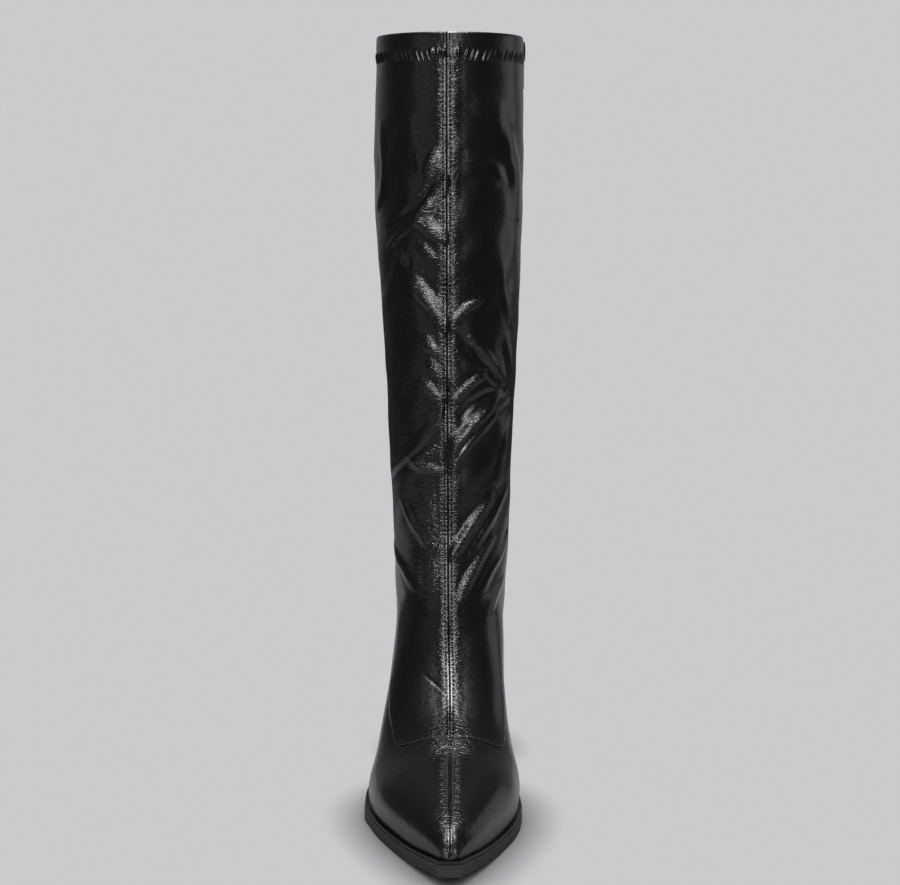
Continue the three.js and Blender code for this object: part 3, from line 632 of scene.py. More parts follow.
def upper_surface(station, angle):
    """Outer face of the upper. From a section's front point the surface goes round by angle: up to 90
    degrees on a superellipse, depth = widest (1 - cos^(2/n)) and width sin^(2/n), and past it on an arc
    that curls in by tuck to the feather line or the back. Angles are positive on the inner side. Stations
    from 0 to -1 close the toe: the first section shrinks to its foot by the cosine of the station, as a
    share of a quarter turn."""
    station, angle = np.broadcast_arrays(np.asarray(station, float), np.asarray(angle, float))
    closing = np.clip(-station, 0, 1) * math.pi / 2
    station = np.maximum(station, 0)
    at = {column: curve(station) for column, curve in section_curves.items()}
    on_sole = station <= SEAT_CORNER
    back_along = np.where(on_sole, back_on_sole(station), back_above(station))
    back_up = np.where(on_sole, feather_height(back_along), back_height(station))
    side = np.where(angle >= 0, 1, -1)
    width = np.where(side > 0, at["medial"], at["lateral"])
    power = 2 / np.where(side > 0, at["round_medial"], at["round_lateral"])
    turn = np.radians(np.minimum(np.abs(angle), 180))
    ahead = np.minimum(turn, math.pi / 2)
    down = at["widest"] * (1 - np.maximum(np.cos(ahead), 0) ** power)
    out = width * np.sin(ahead) ** power
    inset = ledge_at(back_along)
    feather = np.where(side > 0, half_width(back_along, 1, inset), half_width(back_along, -1, inset))
    edge = np.where(on_sole, np.minimum(feather / width, 1), 0)
    tuck = np.radians(at["tuck"])
    curl = (np.maximum(turn, math.pi / 2) / (math.pi / 2) - 1) * tuck
    inward = (1 - np.cos(curl)) / (1 - np.cos(tuck))
    behind = turn > math.pi / 2
    down = np.where(behind, at["widest"] + (1 - at["widest"]) * np.sin(curl) / np.sin(tuck), down)
    out = np.where(behind, width * (1 - (1 - edge) * inward ** at["square"]), out)
    along = at["front_along"] + down * (back_along - at["front_along"])
    up = at["front_up"] + down * (back_up - at["front_up"])
    left = np.cos(closing)
    along = back_along + (along - back_along) * left + CAP_REACH * np.sin(closing)
    return place(along, side * out * left, back_up + (up - back_up) * left)


NORMAL_STATIONS = 0.02
NORMAL_DEGREES = 0.4


def upper_normal(station, angle):
    """Outward direction of the upper's face, from points a little way along and round it."""
    station, angle = np.broadcast_arrays(np.asarray(station, float), np.asarray(angle, float))
    along = upper_surface(station + NORMAL_STATIONS, angle) - upper_surface(station - NORMAL_STATIONS, angle)
    across = upper_surface(station, angle + NORMAL_DEGREES) - upper_surface(station, angle - NORMAL_DEGREES)
    normal = np.cross(across, along)
    return normal / np.maximum(np.linalg.norm(normal, axis=-1, keepdims=True), 1e-9)


def way_along(points):
    """Distance along a line of points, or along each row of them, from its start."""
    steps = np.linalg.norm(np.diff(points, axis=-2), axis=-1)
    return np.concatenate([np.zeros(steps[..., :1].shape), np.cumsum(steps, axis=-1)], axis=-1)


# Distances round the upper are measured on its surface from the line of the front points, negative on the
# outer side. These tables hold the way round at even stations: lengths at even angles, and angles at even
# shares of the whole way.
girth_stations = np.linspace(-1, COLLAR, 1100)
girth_sweep = np.linspace(0, 180, 541)
even_shares = np.linspace(0, 1, 401)
girth_lengths = {}
girth_angles = {}
for side in (1, -1):
    lengths = way_along(upper_surface(girth_stations[:, None], side * girth_sweep[None, :]))
    girth_lengths[side] = lengths
    girth_angles[side] = np.array([np.interp(even_shares * row[-1], row, girth_sweep) for row in lengths])


def look_up(entries, station, share):
    """Value of a grid of entries over girth_stations and even shares from 0 to 1, straight between them."""
    row = (np.clip(station, -1, COLLAR) + 1) / (COLLAR + 1) * (len(girth_stations) - 1)
    column = np.clip(share, 0, 1) * (entries.shape[1] - 1)
    i = np.minimum(row.astype(int), len(girth_stations) - 2)
    j = np.minimum(column.astype(int), entries.shape[1] - 2)
    k, m = row - i, column - j
    return (
        entries[i, j] * (1 - k) * (1 - m)
        + entries[i + 1, j] * k * (1 - m)
        + entries[i, j + 1] * (1 - k) * m
        + entries[i + 1, j + 1] * k * m
    )


def whole_way(station, side):
    """Distance from the front line all the way round one side, to the back or the feather line."""
    return np.interp(station, girth_stations, girth_lengths[side][:, -1])


def angle_at(station, distance):
    station, distance = np.broadcast_arrays(np.asarray(station, float), np.asarray(distance, float))
    shares_round = [np.abs(distance) / np.maximum(whole_way(station, side), 1e-6) for side in (1, -1)]
    angles = (look_up(girth_angles[side], station, share) for side, share in zip((1, -1), shares_round))
    inner, outer = angles
    return np.where(distance >= 0, inner, -outer)


def distance_at(station, angle):
    station, angle = np.broadcast_arrays(np.asarray(station, float), np.asarray(angle, float))
    inner, outer = (look_up(girth_lengths[side], station, np.abs(angle) / 180) for side in (1, -1))
    return np.where(angle >= 0, inner, -outer)


def face_at(stations, distances):
    """Points and outward directions of the upper's face, at distances round it."""
    angle = angle_at(stations, distances)
    return upper_surface(stations, angle), upper_normal(stations, angle)


front_line = upper_surface(girth_stations, 0 * girth_stations)
front_lengths = way_along(front_line)


def length_at(station):
    """Distance up the front line from the tip of the toe."""
    return np.interp(station, girth_stations, front_lengths)


def even_stations(start, end, spacing):
    """Stations from start to end whose sections lie at most about spacing apart on the surface."""
    fine = np.linspace(start, end, 2000)
    paths = [upper_surface(fine, angle + 0 * fine) for angle in (0, 90)]
    steps = np.maximum(*(np.linalg.norm(np.diff(path, axis=0), axis=-1) for path in paths))
    length = np.concatenate([[0], np.cumsum(steps)])
    return np.interp(np.linspace(0, length[-1], int(length[-1] / spacing) + 1), length, fine)


def bell(distance, width):
    """A smooth bump of height 1, exp(-(distance / width)^2)."""
    return np.exp(-((distance / width) ** 2))


def eased(value, low, high):
    """0 below low, 1 above high, with a smooth s between: 3 k^2 - 2 k^3."""
    k = np.clip((value - low) / (high - low), 0, 1)
    return k * k * (3 - 2 * k)


# Front seam: both halves are folded back against each other and stitched down on either side. It runs a
# little to the outer side of the middle up the shaft, lies flatter over the vamp and stands up again at the
# toe and the throat. side: the seam's middle, from the front line. rise: share of its full height.
SEAM_ROWS = table(
    "height side rise",
    [
        (0, 0.0, 1.0),
        (14, 0.0, 1.0),
        (26, 0.0, 0.35),
        (46, 0.0, 0.3),
        (60, 0.0, 1.0),
        (100, -0.9, 1.0),
        (180, -1.2, 1.0),
        (300, -1.8, 1.0),
        (440, -1.9, 1.0),
    ],
)
seam = curves(SEAM_ROWS, ("side", "rise"))
SEAM_CREST = 0.95
CREST_RISE = 0.32
CREST_FLANK = (0.3, 0.6)
GROOVE_DEPTH = 0.3
GROOVE_WIDTH = 0.28
SHOULDER_RISE = 0.5
SHOULDER_WIDTH = 4.2


def seam_relief(beside, height):
    """Height of the front seam: two flat folded edges with a groove between them, and a soft shoulder where
    the leather is pulled up to the seam."""
    away = np.abs(beside)
    crests = CREST_RISE * (1 - eased(np.abs(away - SEAM_CREST), *CREST_FLANK))
    groove = -GROOVE_DEPTH * bell(away, GROOVE_WIDTH)
    shoulder = SHOULDER_RISE * bell(away, SHOULDER_WIDTH)
    return seam["rise"](height) * (crests + groove + shoulder)


# Creases: the soft folds of a worn shaft. Each has a course of (distance round, height) that its crest or
# valley follows downwards. rise: of the crest, or below 0 for a valley. inward, outward: how far it falls
# off towards the inner and the outer side. crinkle: how finely wrinkled the leather is on it.
FOLDS = table(
    "course rise inward outward crinkle",
    [
        ([(-8.5, 376), (-11.6, 368), (-14, 362)], 1.3, 6, 3, 0.8),
        ([(-5.2, 359), (-11.5, 352), (-20, 343), (-29, 336), (-42, 330)], -1.5, 3.5, 5, 0),
        ([(-6.9, 356), (-14, 345), (-20, 335), (-14, 330), (-8, 325)], 2.4, 9, 3, 1.0),
        ([(-20, 334), (-30, 328), (-43, 318)], 1.5, 4, 4, 0.1),
        ([(-51, 386), (-48, 363), (-50, 351), (-60, 342)], 1.5, 5, 8, 0),
        ([(-36, 321), (-32, 315), (-26, 308)], 0.7, 3, 3, 0.5),
        ([(-18, 321), (-13.5, 316), (-9, 313)], 1.0, 4, 3, 1.0),
        ([(-22.6, 306), (-21.5, 297), (-16, 289), (-10.5, 283), (-6.4, 275)], 2.6, 9, 3, 0.6),
        ([(-22, 306), (-15, 300), (-8, 293)], -0.7, 1.5, 1.5, 0),
        ([(-14.3, 266), (-12.5, 262), (-9, 258)], 1.2, 5, 3, 1.0),
        ([(-11.8, 254), (-10, 248), (-6.4, 244)], 1.1, 5, 3, 1.0),
        ([(-17, 240), (-12, 236), (-7, 231)], 1.3, 5, 3, 1.0),
        ([(-4.7, 229), (-5.2, 222), (-9.5, 215), (-19, 202), (-30, 193), (-50, 180)], 1.5, 2.2, 7, 0),
        ([(-4.8, 206), (-12.6, 199), (-23.7, 192)], 1.1, 3, 4, 0.8),
        ([(-23.7, 192), (-16, 189), (-6.4, 188)], 1.6, 5, 3, 1.0),
        ([(-32, 184), (-34, 169), (-26, 156), (-16, 144)], 1.8, 6, 3, 0.1),
        ([(-60, 134), (-39, 125), (-25, 116)], 1.2, 6, 4, 0),
        ([(-17, 176), (-15, 158), (-12.5, 140), (-15, 116)], 1.3, 12, 8, 0.8),
        ([(-25, 392), (-20, 380)], 0.6, 6, 6, 0.3),
        ([(-19.5, 374), (-18.5, 362)], 0.4, 2, 2, 0.4),
        ([(20, 398), (30, 388), (40, 375), (48, 358), (53, 340)], 2.0, 14, 9, 0),
        ([(12, 372), (24, 367), (37, 357)], 0.8, 4, 4, 0.1),
        ([(34, 308), (37, 294), (44, 275)], 1.0, 6, 6, 0),
        ([(17.4, 288), (9, 284), (3.4, 278)], 0.8, 3, 3, 0.9),
        ([(12, 266), (19.5, 259), (28.6, 249)], 0.8, 4, 4, 0.3),
        ([(5.3, 269), (15.5, 256), (27, 244), (37.6, 235)], -2.0, 6, 6, 0),
        ([(37.6, 234), (27, 233), (14.4, 229), (6, 220)], -1.4, 3.5, 4, 0),
        ([(41, 262), (46, 245), (50, 232)], 2.0, 6, 6, 0),
        ([(23, 245), (15.6, 242), (9, 237), (2.3, 230)], 0.9, 3, 3, 0.9),
        ([(29, 226), (20, 219), (11.4, 211), (4.7, 203), (1.7, 196)], 2.8, 2, 7, 0.4),
        ([(44.6, 226), (29.7, 220), (19.7, 212), (11.4, 204), (4.6, 195), (1.1, 187)], 0.9, 3, 1.8, 0),
        ([(47.6, 215), (40, 203), (32, 181)], 1.6, 7, 5, 0),
        ([(48.5, 185), (43, 175), (32.4, 164), (22, 152), (13, 139)], 1.5, 6, 2.2, 0),
        ([(27, 170), (14.7, 156), (6.6, 145), (2.4, 137)], 1.8, 4, 5, 0.9),
        ([(52, 144), (42, 135), (31, 127), (19, 114)], 1.4, 6, 2.2, 0),
        ([(29.4, 146), (18.8, 133), (11, 122), (6.6, 113)], 1.5, 4, 4.5, 0.9),
        ([(49.6, 117), (35.5, 109), (22.5, 102)], 1.2, 6, 5, 0),
        ([(-16, 73), (-9.4, 69), (-3, 65)], -0.4, 1, 1, 0),
    ],
)
COURSE_POINTS = 60
COURSE_END = 0.14


def crease_relief(distance, height):
    """Relief and crinkle of the folds. Across a fold the relief is rise (1 - q^2)^2, with q the offset from
    its course over its reach on that side. Along it the rise swells as the sine of half a turn that starts
    and ends COURSE_END short."""
    relief = np.zeros(distance.shape)
    crinkle = np.zeros(distance.shape)
    for fold in FOLDS:
        course = np.array(fold["course"], float)
        reach = max(fold["inward"], fold["outward"])
        near = np.ones(distance.shape, bool)
        for value, ends in zip((distance, height), course.T):
            near &= (value > ends.min() - reach) & (value < ends.max() + reach)
        if not near.any():
            continue
        chord = way_along(course)
        fine = np.linspace(0, chord[-1], COURSE_POINTS)
        line = np.stack([smooth_curve(chord, values)(fine) for values in course.T], axis=1)
        heading = np.gradient(line, axis=0)
        points = np.stack([distance[near], height[near]], axis=1)
        away = points[:, None, :] - line[None, :, :]
        far = np.hypot(away[..., 0], away[..., 1])
        nearest = far.argmin(axis=1)
        rows = np.arange(len(points))
        offset = away[rows, nearest]
        inner_hand = heading[nearest, 1] * offset[:, 0] - heading[nearest, 0] * offset[:, 1] < 0
        q = far[rows, nearest] / np.where(inner_hand, fold["inward"], fold["outward"])
        shape = (1 - np.minimum(q, 1) ** 2) ** 2
        swell = np.sin(math.pi * (COURSE_END + (1 - 2 * COURSE_END) * nearest / (COURSE_POINTS - 1)))
        relief[near] += fold["rise"] * swell * shape
        crinkle[near] = np.maximum(crinkle[near], fold["crinkle"] * np.sqrt(swell * shape))
    return relief, crinkle


# Sagging of the worn shaft, as three waves. rise: share of SAG_RISE. round, up, turn: the wave's phase by
# distance, height and in itself. sway and its three: how far that phase drifts, by the same.
SAG_ROWS = table(
    "rise round up turn sway sway_round sway_up sway_turn",
    [
        (1, 0.21, 0.13, 0, 1.3, 0, 0.05, 1),
        (1, -0.17, 0.19, 0, 1.1, 0.09, 0, 0),
        (0.5, 0.33, -0.27, 2, 1.2, 0.07, 0.11, 0),
    ],
)
SAG_RISE = 0.2
TIGHT_LEAST = 0.3
ANKLE_LOOSENS = (70, 130)
TOP_TIGHTENS = (370, 425)
SIDES_TIGHTEN = (34, 56)


def sag_relief(distance, height):
    """Slow hollows and swellings of worn leather, a few centimetres across, where it isn't pulled tight:
    sines of distance and height whose phases drift along each other."""
    waves = 0
    for wave in SAG_ROWS:
        drift = np.sin(wave["sway_round"] * distance + wave["sway_up"] * height + wave["sway_turn"])
        phase = wave["round"] * distance + wave["up"] * height + wave["turn"] + wave["sway"] * drift
        waves = waves + wave["rise"] * np.sin(phase)
    loose = eased(height, *ANKLE_LOOSENS) * (1 - eased(height, *TOP_TIGHTENS))
    loose = loose * (1 - (1 - TIGHT_LEAST) * eased(np.abs(distance), *SIDES_TIGHTEN))
    return SAG_RISE * (TIGHT_LEAST + (1 - TIGHT_LEAST) * loose) * waves


# Where the pieces of leather end: the front panel's sides, its lower edge with its two rounded corners, and
# the slot of the zip on the inner side. above: stations over the throat. outer, inner, round: degrees.
PANEL_STEP = 0.5
PANEL_CORNER = 9
PANEL_FOOT = THROAT + 0.03
EDGE_ROWS = table(
    "above outer inner",
    [
        (0, 41, 48),
        (1, 51, 58),
        (2, 63, 68),
        (3, 76, 77),
        (4, 86, 84),
        (6, 90, 90),
        (COLLAR - THROAT, 90, 90),
    ],
)
ZIP_ROWS = table(
    "station round",
    [
        (13.4, 140),
        (13.6, 132),
        (14, 120),
        (14.5, 107),
        (15, 100.5),
        (15.5, 97),
        (16, 93.5),
        (17, 90),
        (COLLAR, 90),
    ],
)
panel_edge = curves(EDGE_ROWS, ("outer", "inner"))
zip_line = curves(ZIP_ROWS, ("round",))["round"]
ZIP_FOOT = 13.6
SLOT_WIDTH = 9.6
SLOT_OPENS = 2


def edge_distance(station, side):
    """Distance of the front panel's side edge. Below the throat it stays at the same share of the way
    round."""
    above = np.maximum(station, THROAT)
    angle = panel_edge["inner" if side > 0 else "outer"](above - THROAT)
    share = np.abs(distance_at(above, side * angle)) / whole_way(above, side)
    return share * whole_way(station, side)


def panel_depth(station, distance):
    """How far a place lies inside the front panel's outline, below 0 outside it. In a lower corner the
    distance is taken to a circle of PANEL_CORNER, and elsewhere to the nearer of the side and the lower
    edge."""
    beside = np.minimum(edge_distance(station, 1) - distance, distance + edge_distance(station, -1))
    rise = length_at(station) - length_at(PANEL_FOOT)
    corner = (beside < PANEL_CORNER) & (rise < PANEL_CORNER)
    to_circle = PANEL_CORNER - np.hypot(PANEL_CORNER - beside, PANEL_CORNER - rise)
    return np.where(corner, to_circle, np.minimum(beside, rise))


# Leather: drum-dyed black, thin and highly polished. It has a fine grain, faint pebbling, and fine cross
# wrinkles where it is folded or drawn up to a seam.
leather = new_material(
    "leather", Base_Color=(0.0045, 0.0045, 0.005, 1), Roughness=0.275, Coat_Weight=0.25, Coat_Roughness=0.14
)
on_leather = add_node(leather, "ShaderNodeUVMap", uv_map="place").outputs["UV"]
drawn_out = add_node(leather, "ShaderNodeVectorMath", operation="MULTIPLY")
drawn_out.inputs[1].default_value = (0.32, 1, 1)
wrinkles = add_node(leather, "ShaderNodeTexNoise", Scale=880, Detail=1.5, Roughness=0.5, Distortion=0.6)
wrinkled = add_node(leather, "ShaderNodeMath", operation="MULTIPLY")
link(leather, on_leather, drawn_out.inputs[0])
link(leather, drawn_out.outputs["Vector"], wrinkles.inputs["Vector"])
link(leather, wrinkles.outputs["Fac"], wrinkled.inputs[0])
link(leather, attribute(leather, "crinkle"), wrinkled.inputs[1])
pebbles = texture_height(leather, grain, Scale=190, Detail=5, Roughness=0.6)
pebbled = add_bump(leather, pebbles, 0.34)
folded = add_bump(leather, wrinkled.outputs["Value"], 1.7, before=pebbled)
feed(
    leather,
    Roughness=remap(leather, attribute(leather, "polish"), To_Min=0.275, To_Max=0.15),
    Normal=add_bump(leather, texture_height(leather, pores, Scale=1700), 0.02, before=folded),
)
SWELL_RISE = 1.1
SWELL_DOWN = 15
SWELL_UP = 40
SWELL_WIDTH = 16


def throat_swell(beside, rise):
    """The leather stays steep for a little way below the throat line, beside the seam: 1 at the line, and 0
    at SWELL_DOWN below it and SWELL_UP above it. rise is the way up the front line from there."""
    along = np.where(rise < 0, 1 - eased(-rise, 0, SWELL_DOWN), 1 - eased(rise, 0, SWELL_UP))
    return along * bell(beside, SWELL_WIDTH)


# The strips and patches of fine wrinkles: how crinkled they are, how far off the seam, and the widths of the
# bells that they fade with across and up.
STRIP_CRINKLE = (0.3, 0.35)
STRIP_OFF = 4.4
STRIP_WIDTH = 2.6
STRIP_HEIGHTS = (60, 110)
OUTER_CRINKLE = 0.22
OUTER_OFF = 14
OUTER_HEIGHTS = (80, 140)
THROAT_CRINKLE = 0.8
THROAT_WIDTH = 14
THROAT_LENGTH = 16
TOE_CRINKLE = 0.9
TOE_OFF = 5
TOE_WIDTH = 4.5
TOE_LENGTH = 8
TOE_STATION = 3.7
TOE_PUCKER = float(length_at(TOE_STATION) - length_at(THROAT))


def crinkle_at(beside, height, rise, folds):
    """How wrinkled the leather is: on the folds, in a strip each side of the front seam that grows up the
    shaft, in a broad one on the shaft's outer side, at the throat and behind the toe."""
    away = np.abs(beside)
    low, more = STRIP_CRINKLE
    strip = (low + more * eased(height, *STRIP_HEIGHTS)) * bell(away - STRIP_OFF, STRIP_WIDTH)
    outer = OUTER_CRINKLE * bell(beside + OUTER_OFF, OUTER_OFF) * eased(height, *OUTER_HEIGHTS)
    throat = THROAT_CRINKLE * bell(beside, THROAT_WIDTH) * bell(rise, THROAT_LENGTH)
    toe = TOE_CRINKLE * bell(away - TOE_OFF, TOE_WIDTH) * bell(rise - TOE_PUCKER, TOE_LENGTH)
    return np.clip(np.maximum.reduce([folds, strip, outer, throat, toe]), 0, 1)


POLISH_WIDTH = 0.55
LEATHER_THICKNESS = 0.9


def polish_at(beside):
    """How worn bright the leather is: on the two crests of the front seam."""
    return bell(np.abs(beside) - SEAM_CREST, POLISH_WIDTH)


def leather_grid(stations, distances, raise_by):
    """A sheet over a grid of stations and of distances round the upper: outer and inner points, places on
    the leather and how wrinkled it is. raise_by lifts its outer face."""
    stations, distances = np.broadcast_arrays(stations, distances)
    base, normal = face_at(stations, distances)
    height = base[..., 2]
    beside = distances - seam["side"](height)
    folds, crinkle = crease_relief(distances, height)
    rise = length_at(stations) - length_at(THROAT)
    relief = seam_relief(beside, height) + folds + sag_relief(distances, height) + raise_by
    relief += SWELL_RISE * throat_swell(beside, rise)
    return {
        "outer": base + normal * relief[..., None],
        "inner": base + normal * (np.minimum(raise_by, 0) - LEATHER_THICKNESS)[..., None],
        "uv": np.stack([beside, length_at(stations)], axis=-1),
        "crinkle": crinkle_at(beside, height, rise, crinkle),
        "polish": polish_at(beside),
    }


def leather_piece(name, grids, material=leather):
    """One piece of leather from grids that share edges: points that coincide are joined, and a wall closes
    the thickness along every edge that only one face has."""
    points = {key: [] for key in ("outer", "inner", "uv", "crinkle", "polish")}
    quads = []
    for grid in grids:
        quads.append(grid_quads(*grid["outer"].shape[:2]) + sum(len(block) for block in points["outer"]))
        for key, blocks in points.items():
            width = grid[key].shape[2] if grid[key].ndim == 3 else 1
            blocks.append(grid[key].reshape(-1, width))
    points = {key: np.concatenate(blocks) for key, blocks in points.items()}
    quads = np.concatenate(quads)
    whole = np.round(points["outer"] / WELD).astype(np.int64)
    first, same = np.unique(whole, axis=0, return_index=True, return_inverse=True)[1:]
    quads = same.reshape(-1)[quads]
    count = len(first)
    after = np.roll(quads, -1, axis=1)
    real = quads != after
    full = real.all(axis=1)
    faces = [corners[keep].tolist() for corners, keep in zip(quads[~full], real[~full]) if keep.sum() > 2]
    faces += quads[full].tolist()
    starts, ends = quads[real], after[real]
    lone = ~np.isin(starts * count + ends, ends * count + starts)
    walls = np.stack([ends[lone], starts[lone], starts[lone] + count, ends[lone] + count], axis=-1)
    inside = [[corner + count for corner in reversed(face)] for face in faces]
    both = {key: np.concatenate([block[first]] * 2) for key, block in points.items()}
    sheets = np.concatenate([points["outer"][first], points["inner"][first]])
    values = {key: both[key] for key in ("crinkle", "polish")}
    made = make_piece(name, sheets, faces + inside + walls.tolist(), material, both["uv"], values)
    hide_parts("upper")


SEAM_COLUMNS = np.array(
    [0, 0.2, 0.35, 0.5, 0.65, 0.8, 0.95, 1.1, 1.25, 1.4, 1.55, 1.8, 2.1, 2.4, 2.8, 3.3, 3.9, 4.7]
)
SEAM_SHARE = 0.6
LEAST_COLUMNS = 8


def across_seam(stations, ends, spacing):
    """Distances from ends[0] on the outer side to ends[1] on the inner side. They follow SEAM_COLUMNS beside
    the front seam, or take up SEAM_SHARE of the way where it is short, and are at even shares beyond."""
    middle = seam["side"](upper_surface(stations, 0 * stations)[:, 2])
    sides = []
    for side, end in ((-1, ends[0]), (1, ends[1])):
        reach = np.maximum(side * (end - middle), 0)
        most = reach[:, None] * SEAM_SHARE * SEAM_COLUMNS[None, :] / SEAM_COLUMNS[-1]
        near = np.minimum(SEAM_COLUMNS[None, :], most)
        share = np.linspace(0, 1, max(int(np.max(reach) / spacing), LEAST_COLUMNS) + 1)[1:]
        beyond = near[:, -1:] + (reach[:, None] - near[:, -1:]) * share
        sides.append(middle[:, None] + side * np.concatenate([near, beyond], axis=1))
    return np.concatenate([sides[0][:, :0:-1], sides[1]], axis=1)


# Vamp and quarters: they meet edge to edge along the throat's section, down to the sole at the waist, so
# that no line shows. The vamp's tongue laps under the front panel, and the quarters are joined up the back.
# The inner quarter has the slot for the zip, which starts low beside the heel.
EDGE_LAP = 1.5
VAMP_LAP = 0.9
SHEET_TOP = COLLAR - 0.28
JOIN = 0.02
UNDER_PANEL = (0.6, 2.4)
FOOT_SPACING = 1.1
LEG_SPACING = 1.5
TONGUE_SPACING = 1.35


def skin_raise(stations, distances):
    """The skin lies PANEL_STEP lower under the front panel, so that the panel's edge rests on it."""
    return -PANEL_STEP * eased(panel_depth(stations, distances), *UNDER_PANEL)


def skin_grid(rows, spread):
    """Part of the skin, over rows of stations and a spread of distances."""
    return leather_grid(rows[:, None], spread, skin_raise(rows[:, None], spread))


def shares(start, end, count):
    """Distances at even shares of the way from one line to another."""
    return start[:, None] + (end - start)[:, None] * np.linspace(0, 1, count + 1)


def inner_spans(rows, start, counts, split):
    """Spreads of distances on the inner side: from start to the zip's slot, from there to the end, and over
    the slot, which stays open where it is split. counts: the columns of each."""
    end = whole_way(rows, 1)
    half = SLOT_WIDTH / 2 * eased(rows, ZIP_FOOT - SLOT_OPENS, ZIP_FOOT)
    middle = distance_at(rows, zip_line(rows))
    front, back = (np.clip(middle + side * half, np.maximum(start, 0), end) for side in (-1, 1))
    spans = list(zip((start, back, front), (front, end, back), counts))
    return [shares(*span) for span in spans[: 2 if split else 3]]


def around(rows, split):
    """The skin's grids behind the front panel's edges, on both sides. split leaves the slot of the zip
    open."""
    inner_edge, outer_edge = (edge_distance(rows, side) - EDGE_LAP for side in (1, -1))
    spreads = inner_spans(rows, inner_edge, (42, 30, 6), split)
    spreads.append(shares(-whole_way(rows, -1), -outer_edge, 100))
    return [skin_grid(rows, spread) for spread in spreads]


foot_rows = np.append(even_stations(-1.0, THROAT - JOIN, FOOT_SPACING), THROAT)
tongue_rows = np.concatenate([foot_rows, even_stations(THROAT, THROAT + VAMP_LAP, FOOT_SPACING)[1:]])
tongue_ends = [side * (edge_distance(tongue_rows, side) - EDGE_LAP) for side in (-1, 1)]
tongue = across_seam(tongue_rows, tongue_ends, TONGUE_SPACING)
tongue[:, 0], tongue[:, -1] = tongue_ends
leather_piece("vamp", [skin_grid(tongue_rows, tongue)] + around(foot_rows, False))
leg_rows = np.append(THROAT, even_stations(THROAT + JOIN, ZIP_FOOT, LEG_SPACING))
slot_rows = even_stations(ZIP_FOOT, SHEET_TOP, LEG_SPACING)
leather_piece("quarters", around(leg_rows, False) + around(slot_rows, True))

# Front panel, from the throat to the collar, in two halves that meet in the front seam. Its edge is turned
# under and stitched down.
PANEL_SPACING = 1.4
CORNER_BLEND = 1.5
TURN_WIDTH = 0.4
TURN_SHARE = 0.75
EDGE_INSET = 0.95
STITCH_DENT = 0.12
DENT_WIDTH = 0.35
panel_rows = even_stations(PANEL_FOOT, SHEET_TOP, PANEL_SPACING)
panel_ends = [side * edge_distance(panel_rows, side) for side in (-1, 1)]
panel_spread = across_seam(panel_rows, panel_ends, LEG_SPACING)
from_edge = np.array([abs(panel_spread[0] - end[0]) for end in panel_ends]).min(axis=0)
corner_rise = PANEL_CORNER - np.sqrt(PANEL_CORNER**2 - np.maximum(PANEL_CORNER - from_edge, 0) ** 2)
stations_per_mm = 1 / (length_at(THROAT + 1) - length_at(THROAT))
blend = np.clip(1 - (panel_rows[:, None] - panel_rows[0]) / CORNER_BLEND, 0, 1)
panel_places = panel_rows[:, None] + (corner_rise * stations_per_mm)[None, :] * blend


def turned_edge(inset):
    """Height of a turned edge over the leather under it: rounded at the fold, and drawn down along the
    stitches."""
    rounded = PANEL_STEP * (1 - TURN_SHARE * bell(inset, TURN_WIDTH))
    return rounded - STITCH_DENT * bell(inset - EDGE_INSET, DENT_WIDTH)


panel_inset = np.maximum(panel_depth(panel_places, panel_spread), 0)
leather_piece("front_panel", [leather_grid(panel_places, panel_spread, turned_edge(panel_inset))])


# Lining: black textile inside the leather, from the toe to the collar, with the same slot for the zip.
LINING_OUT = -1.0
LINING_IN = -1.6
LINING_FOOT = 0.6
LINING_SPACING = 3


def lining_grid(stations, distances):
    """A sheet of lining between LINING_OUT and LINING_IN under the leather's face."""
    stations, distances = np.broadcast_arrays(stations, distances)
    base, normal = face_at(stations, distances)
    return {
        "outer": base + normal * LINING_OUT,
        "inner": base + normal * LINING_IN,
        "uv": np.stack([distances, length_at(stations)], axis=-1),
        "crinkle": 0 * distances,
        "polish": 0 * distances,
    }


low_rows = even_stations(LINING_FOOT, THROAT, LINING_SPACING)
low_rows = np.concatenate([low_rows, even_stations(THROAT, ZIP_FOOT, LINING_SPACING)[1:]])
high_rows = even_stations(ZIP_FOOT, SHEET_TOP, LINING_SPACING)
lining_grids = []
for rows, split in ((low_rows, False), (high_rows, True)):
    spreads = inner_spans(rows, -whole_way(rows, -1), (60, 20, 4), split)
    lining_grids += [lining_grid(rows[:, None], spread) for spread in spreads]
leather_piece("upper_lining", lining_grids, material=lining)


# Threads: black polyester, lying in small rows of stitches. They fasten down the two folds of the front
# seam, the front panel's turned edge and the leather on both sides of the zip. On the foot and along the
# panel the thread is coloured pale grey as a painted highlight, for the glints of the glossy black thread.
TWIST_KNOBS = {"Scale": 900, "Distortion": 1.0}
twist = texture_group("twist", "ShaderNodeTexWave", "Fac", TWIST_KNOBS, bands_direction="DIAGONAL")
thread = new_material("thread", Base_Color=(0.001, 0.001, 0.001, 1), Roughness=0.7, Specular_IOR_Level=0.15)
feed(thread, Normal=add_bump(thread, texture_height(thread, twist), 0.08))
# Painted highlight: a pale grey copy of the black thread, so that its stitches show as glints.
glint_thread = new_material("thread_painted_glint", Base_Color=(0.22, 0.22, 0.225, 1), Roughness=0.3)
ROD_FULLNESS = 0.6
STITCH_FLATNESS = 0.8
LINE_POINTS = 400
FLAT_POINTS = 200
CORNER_POINTS = 20


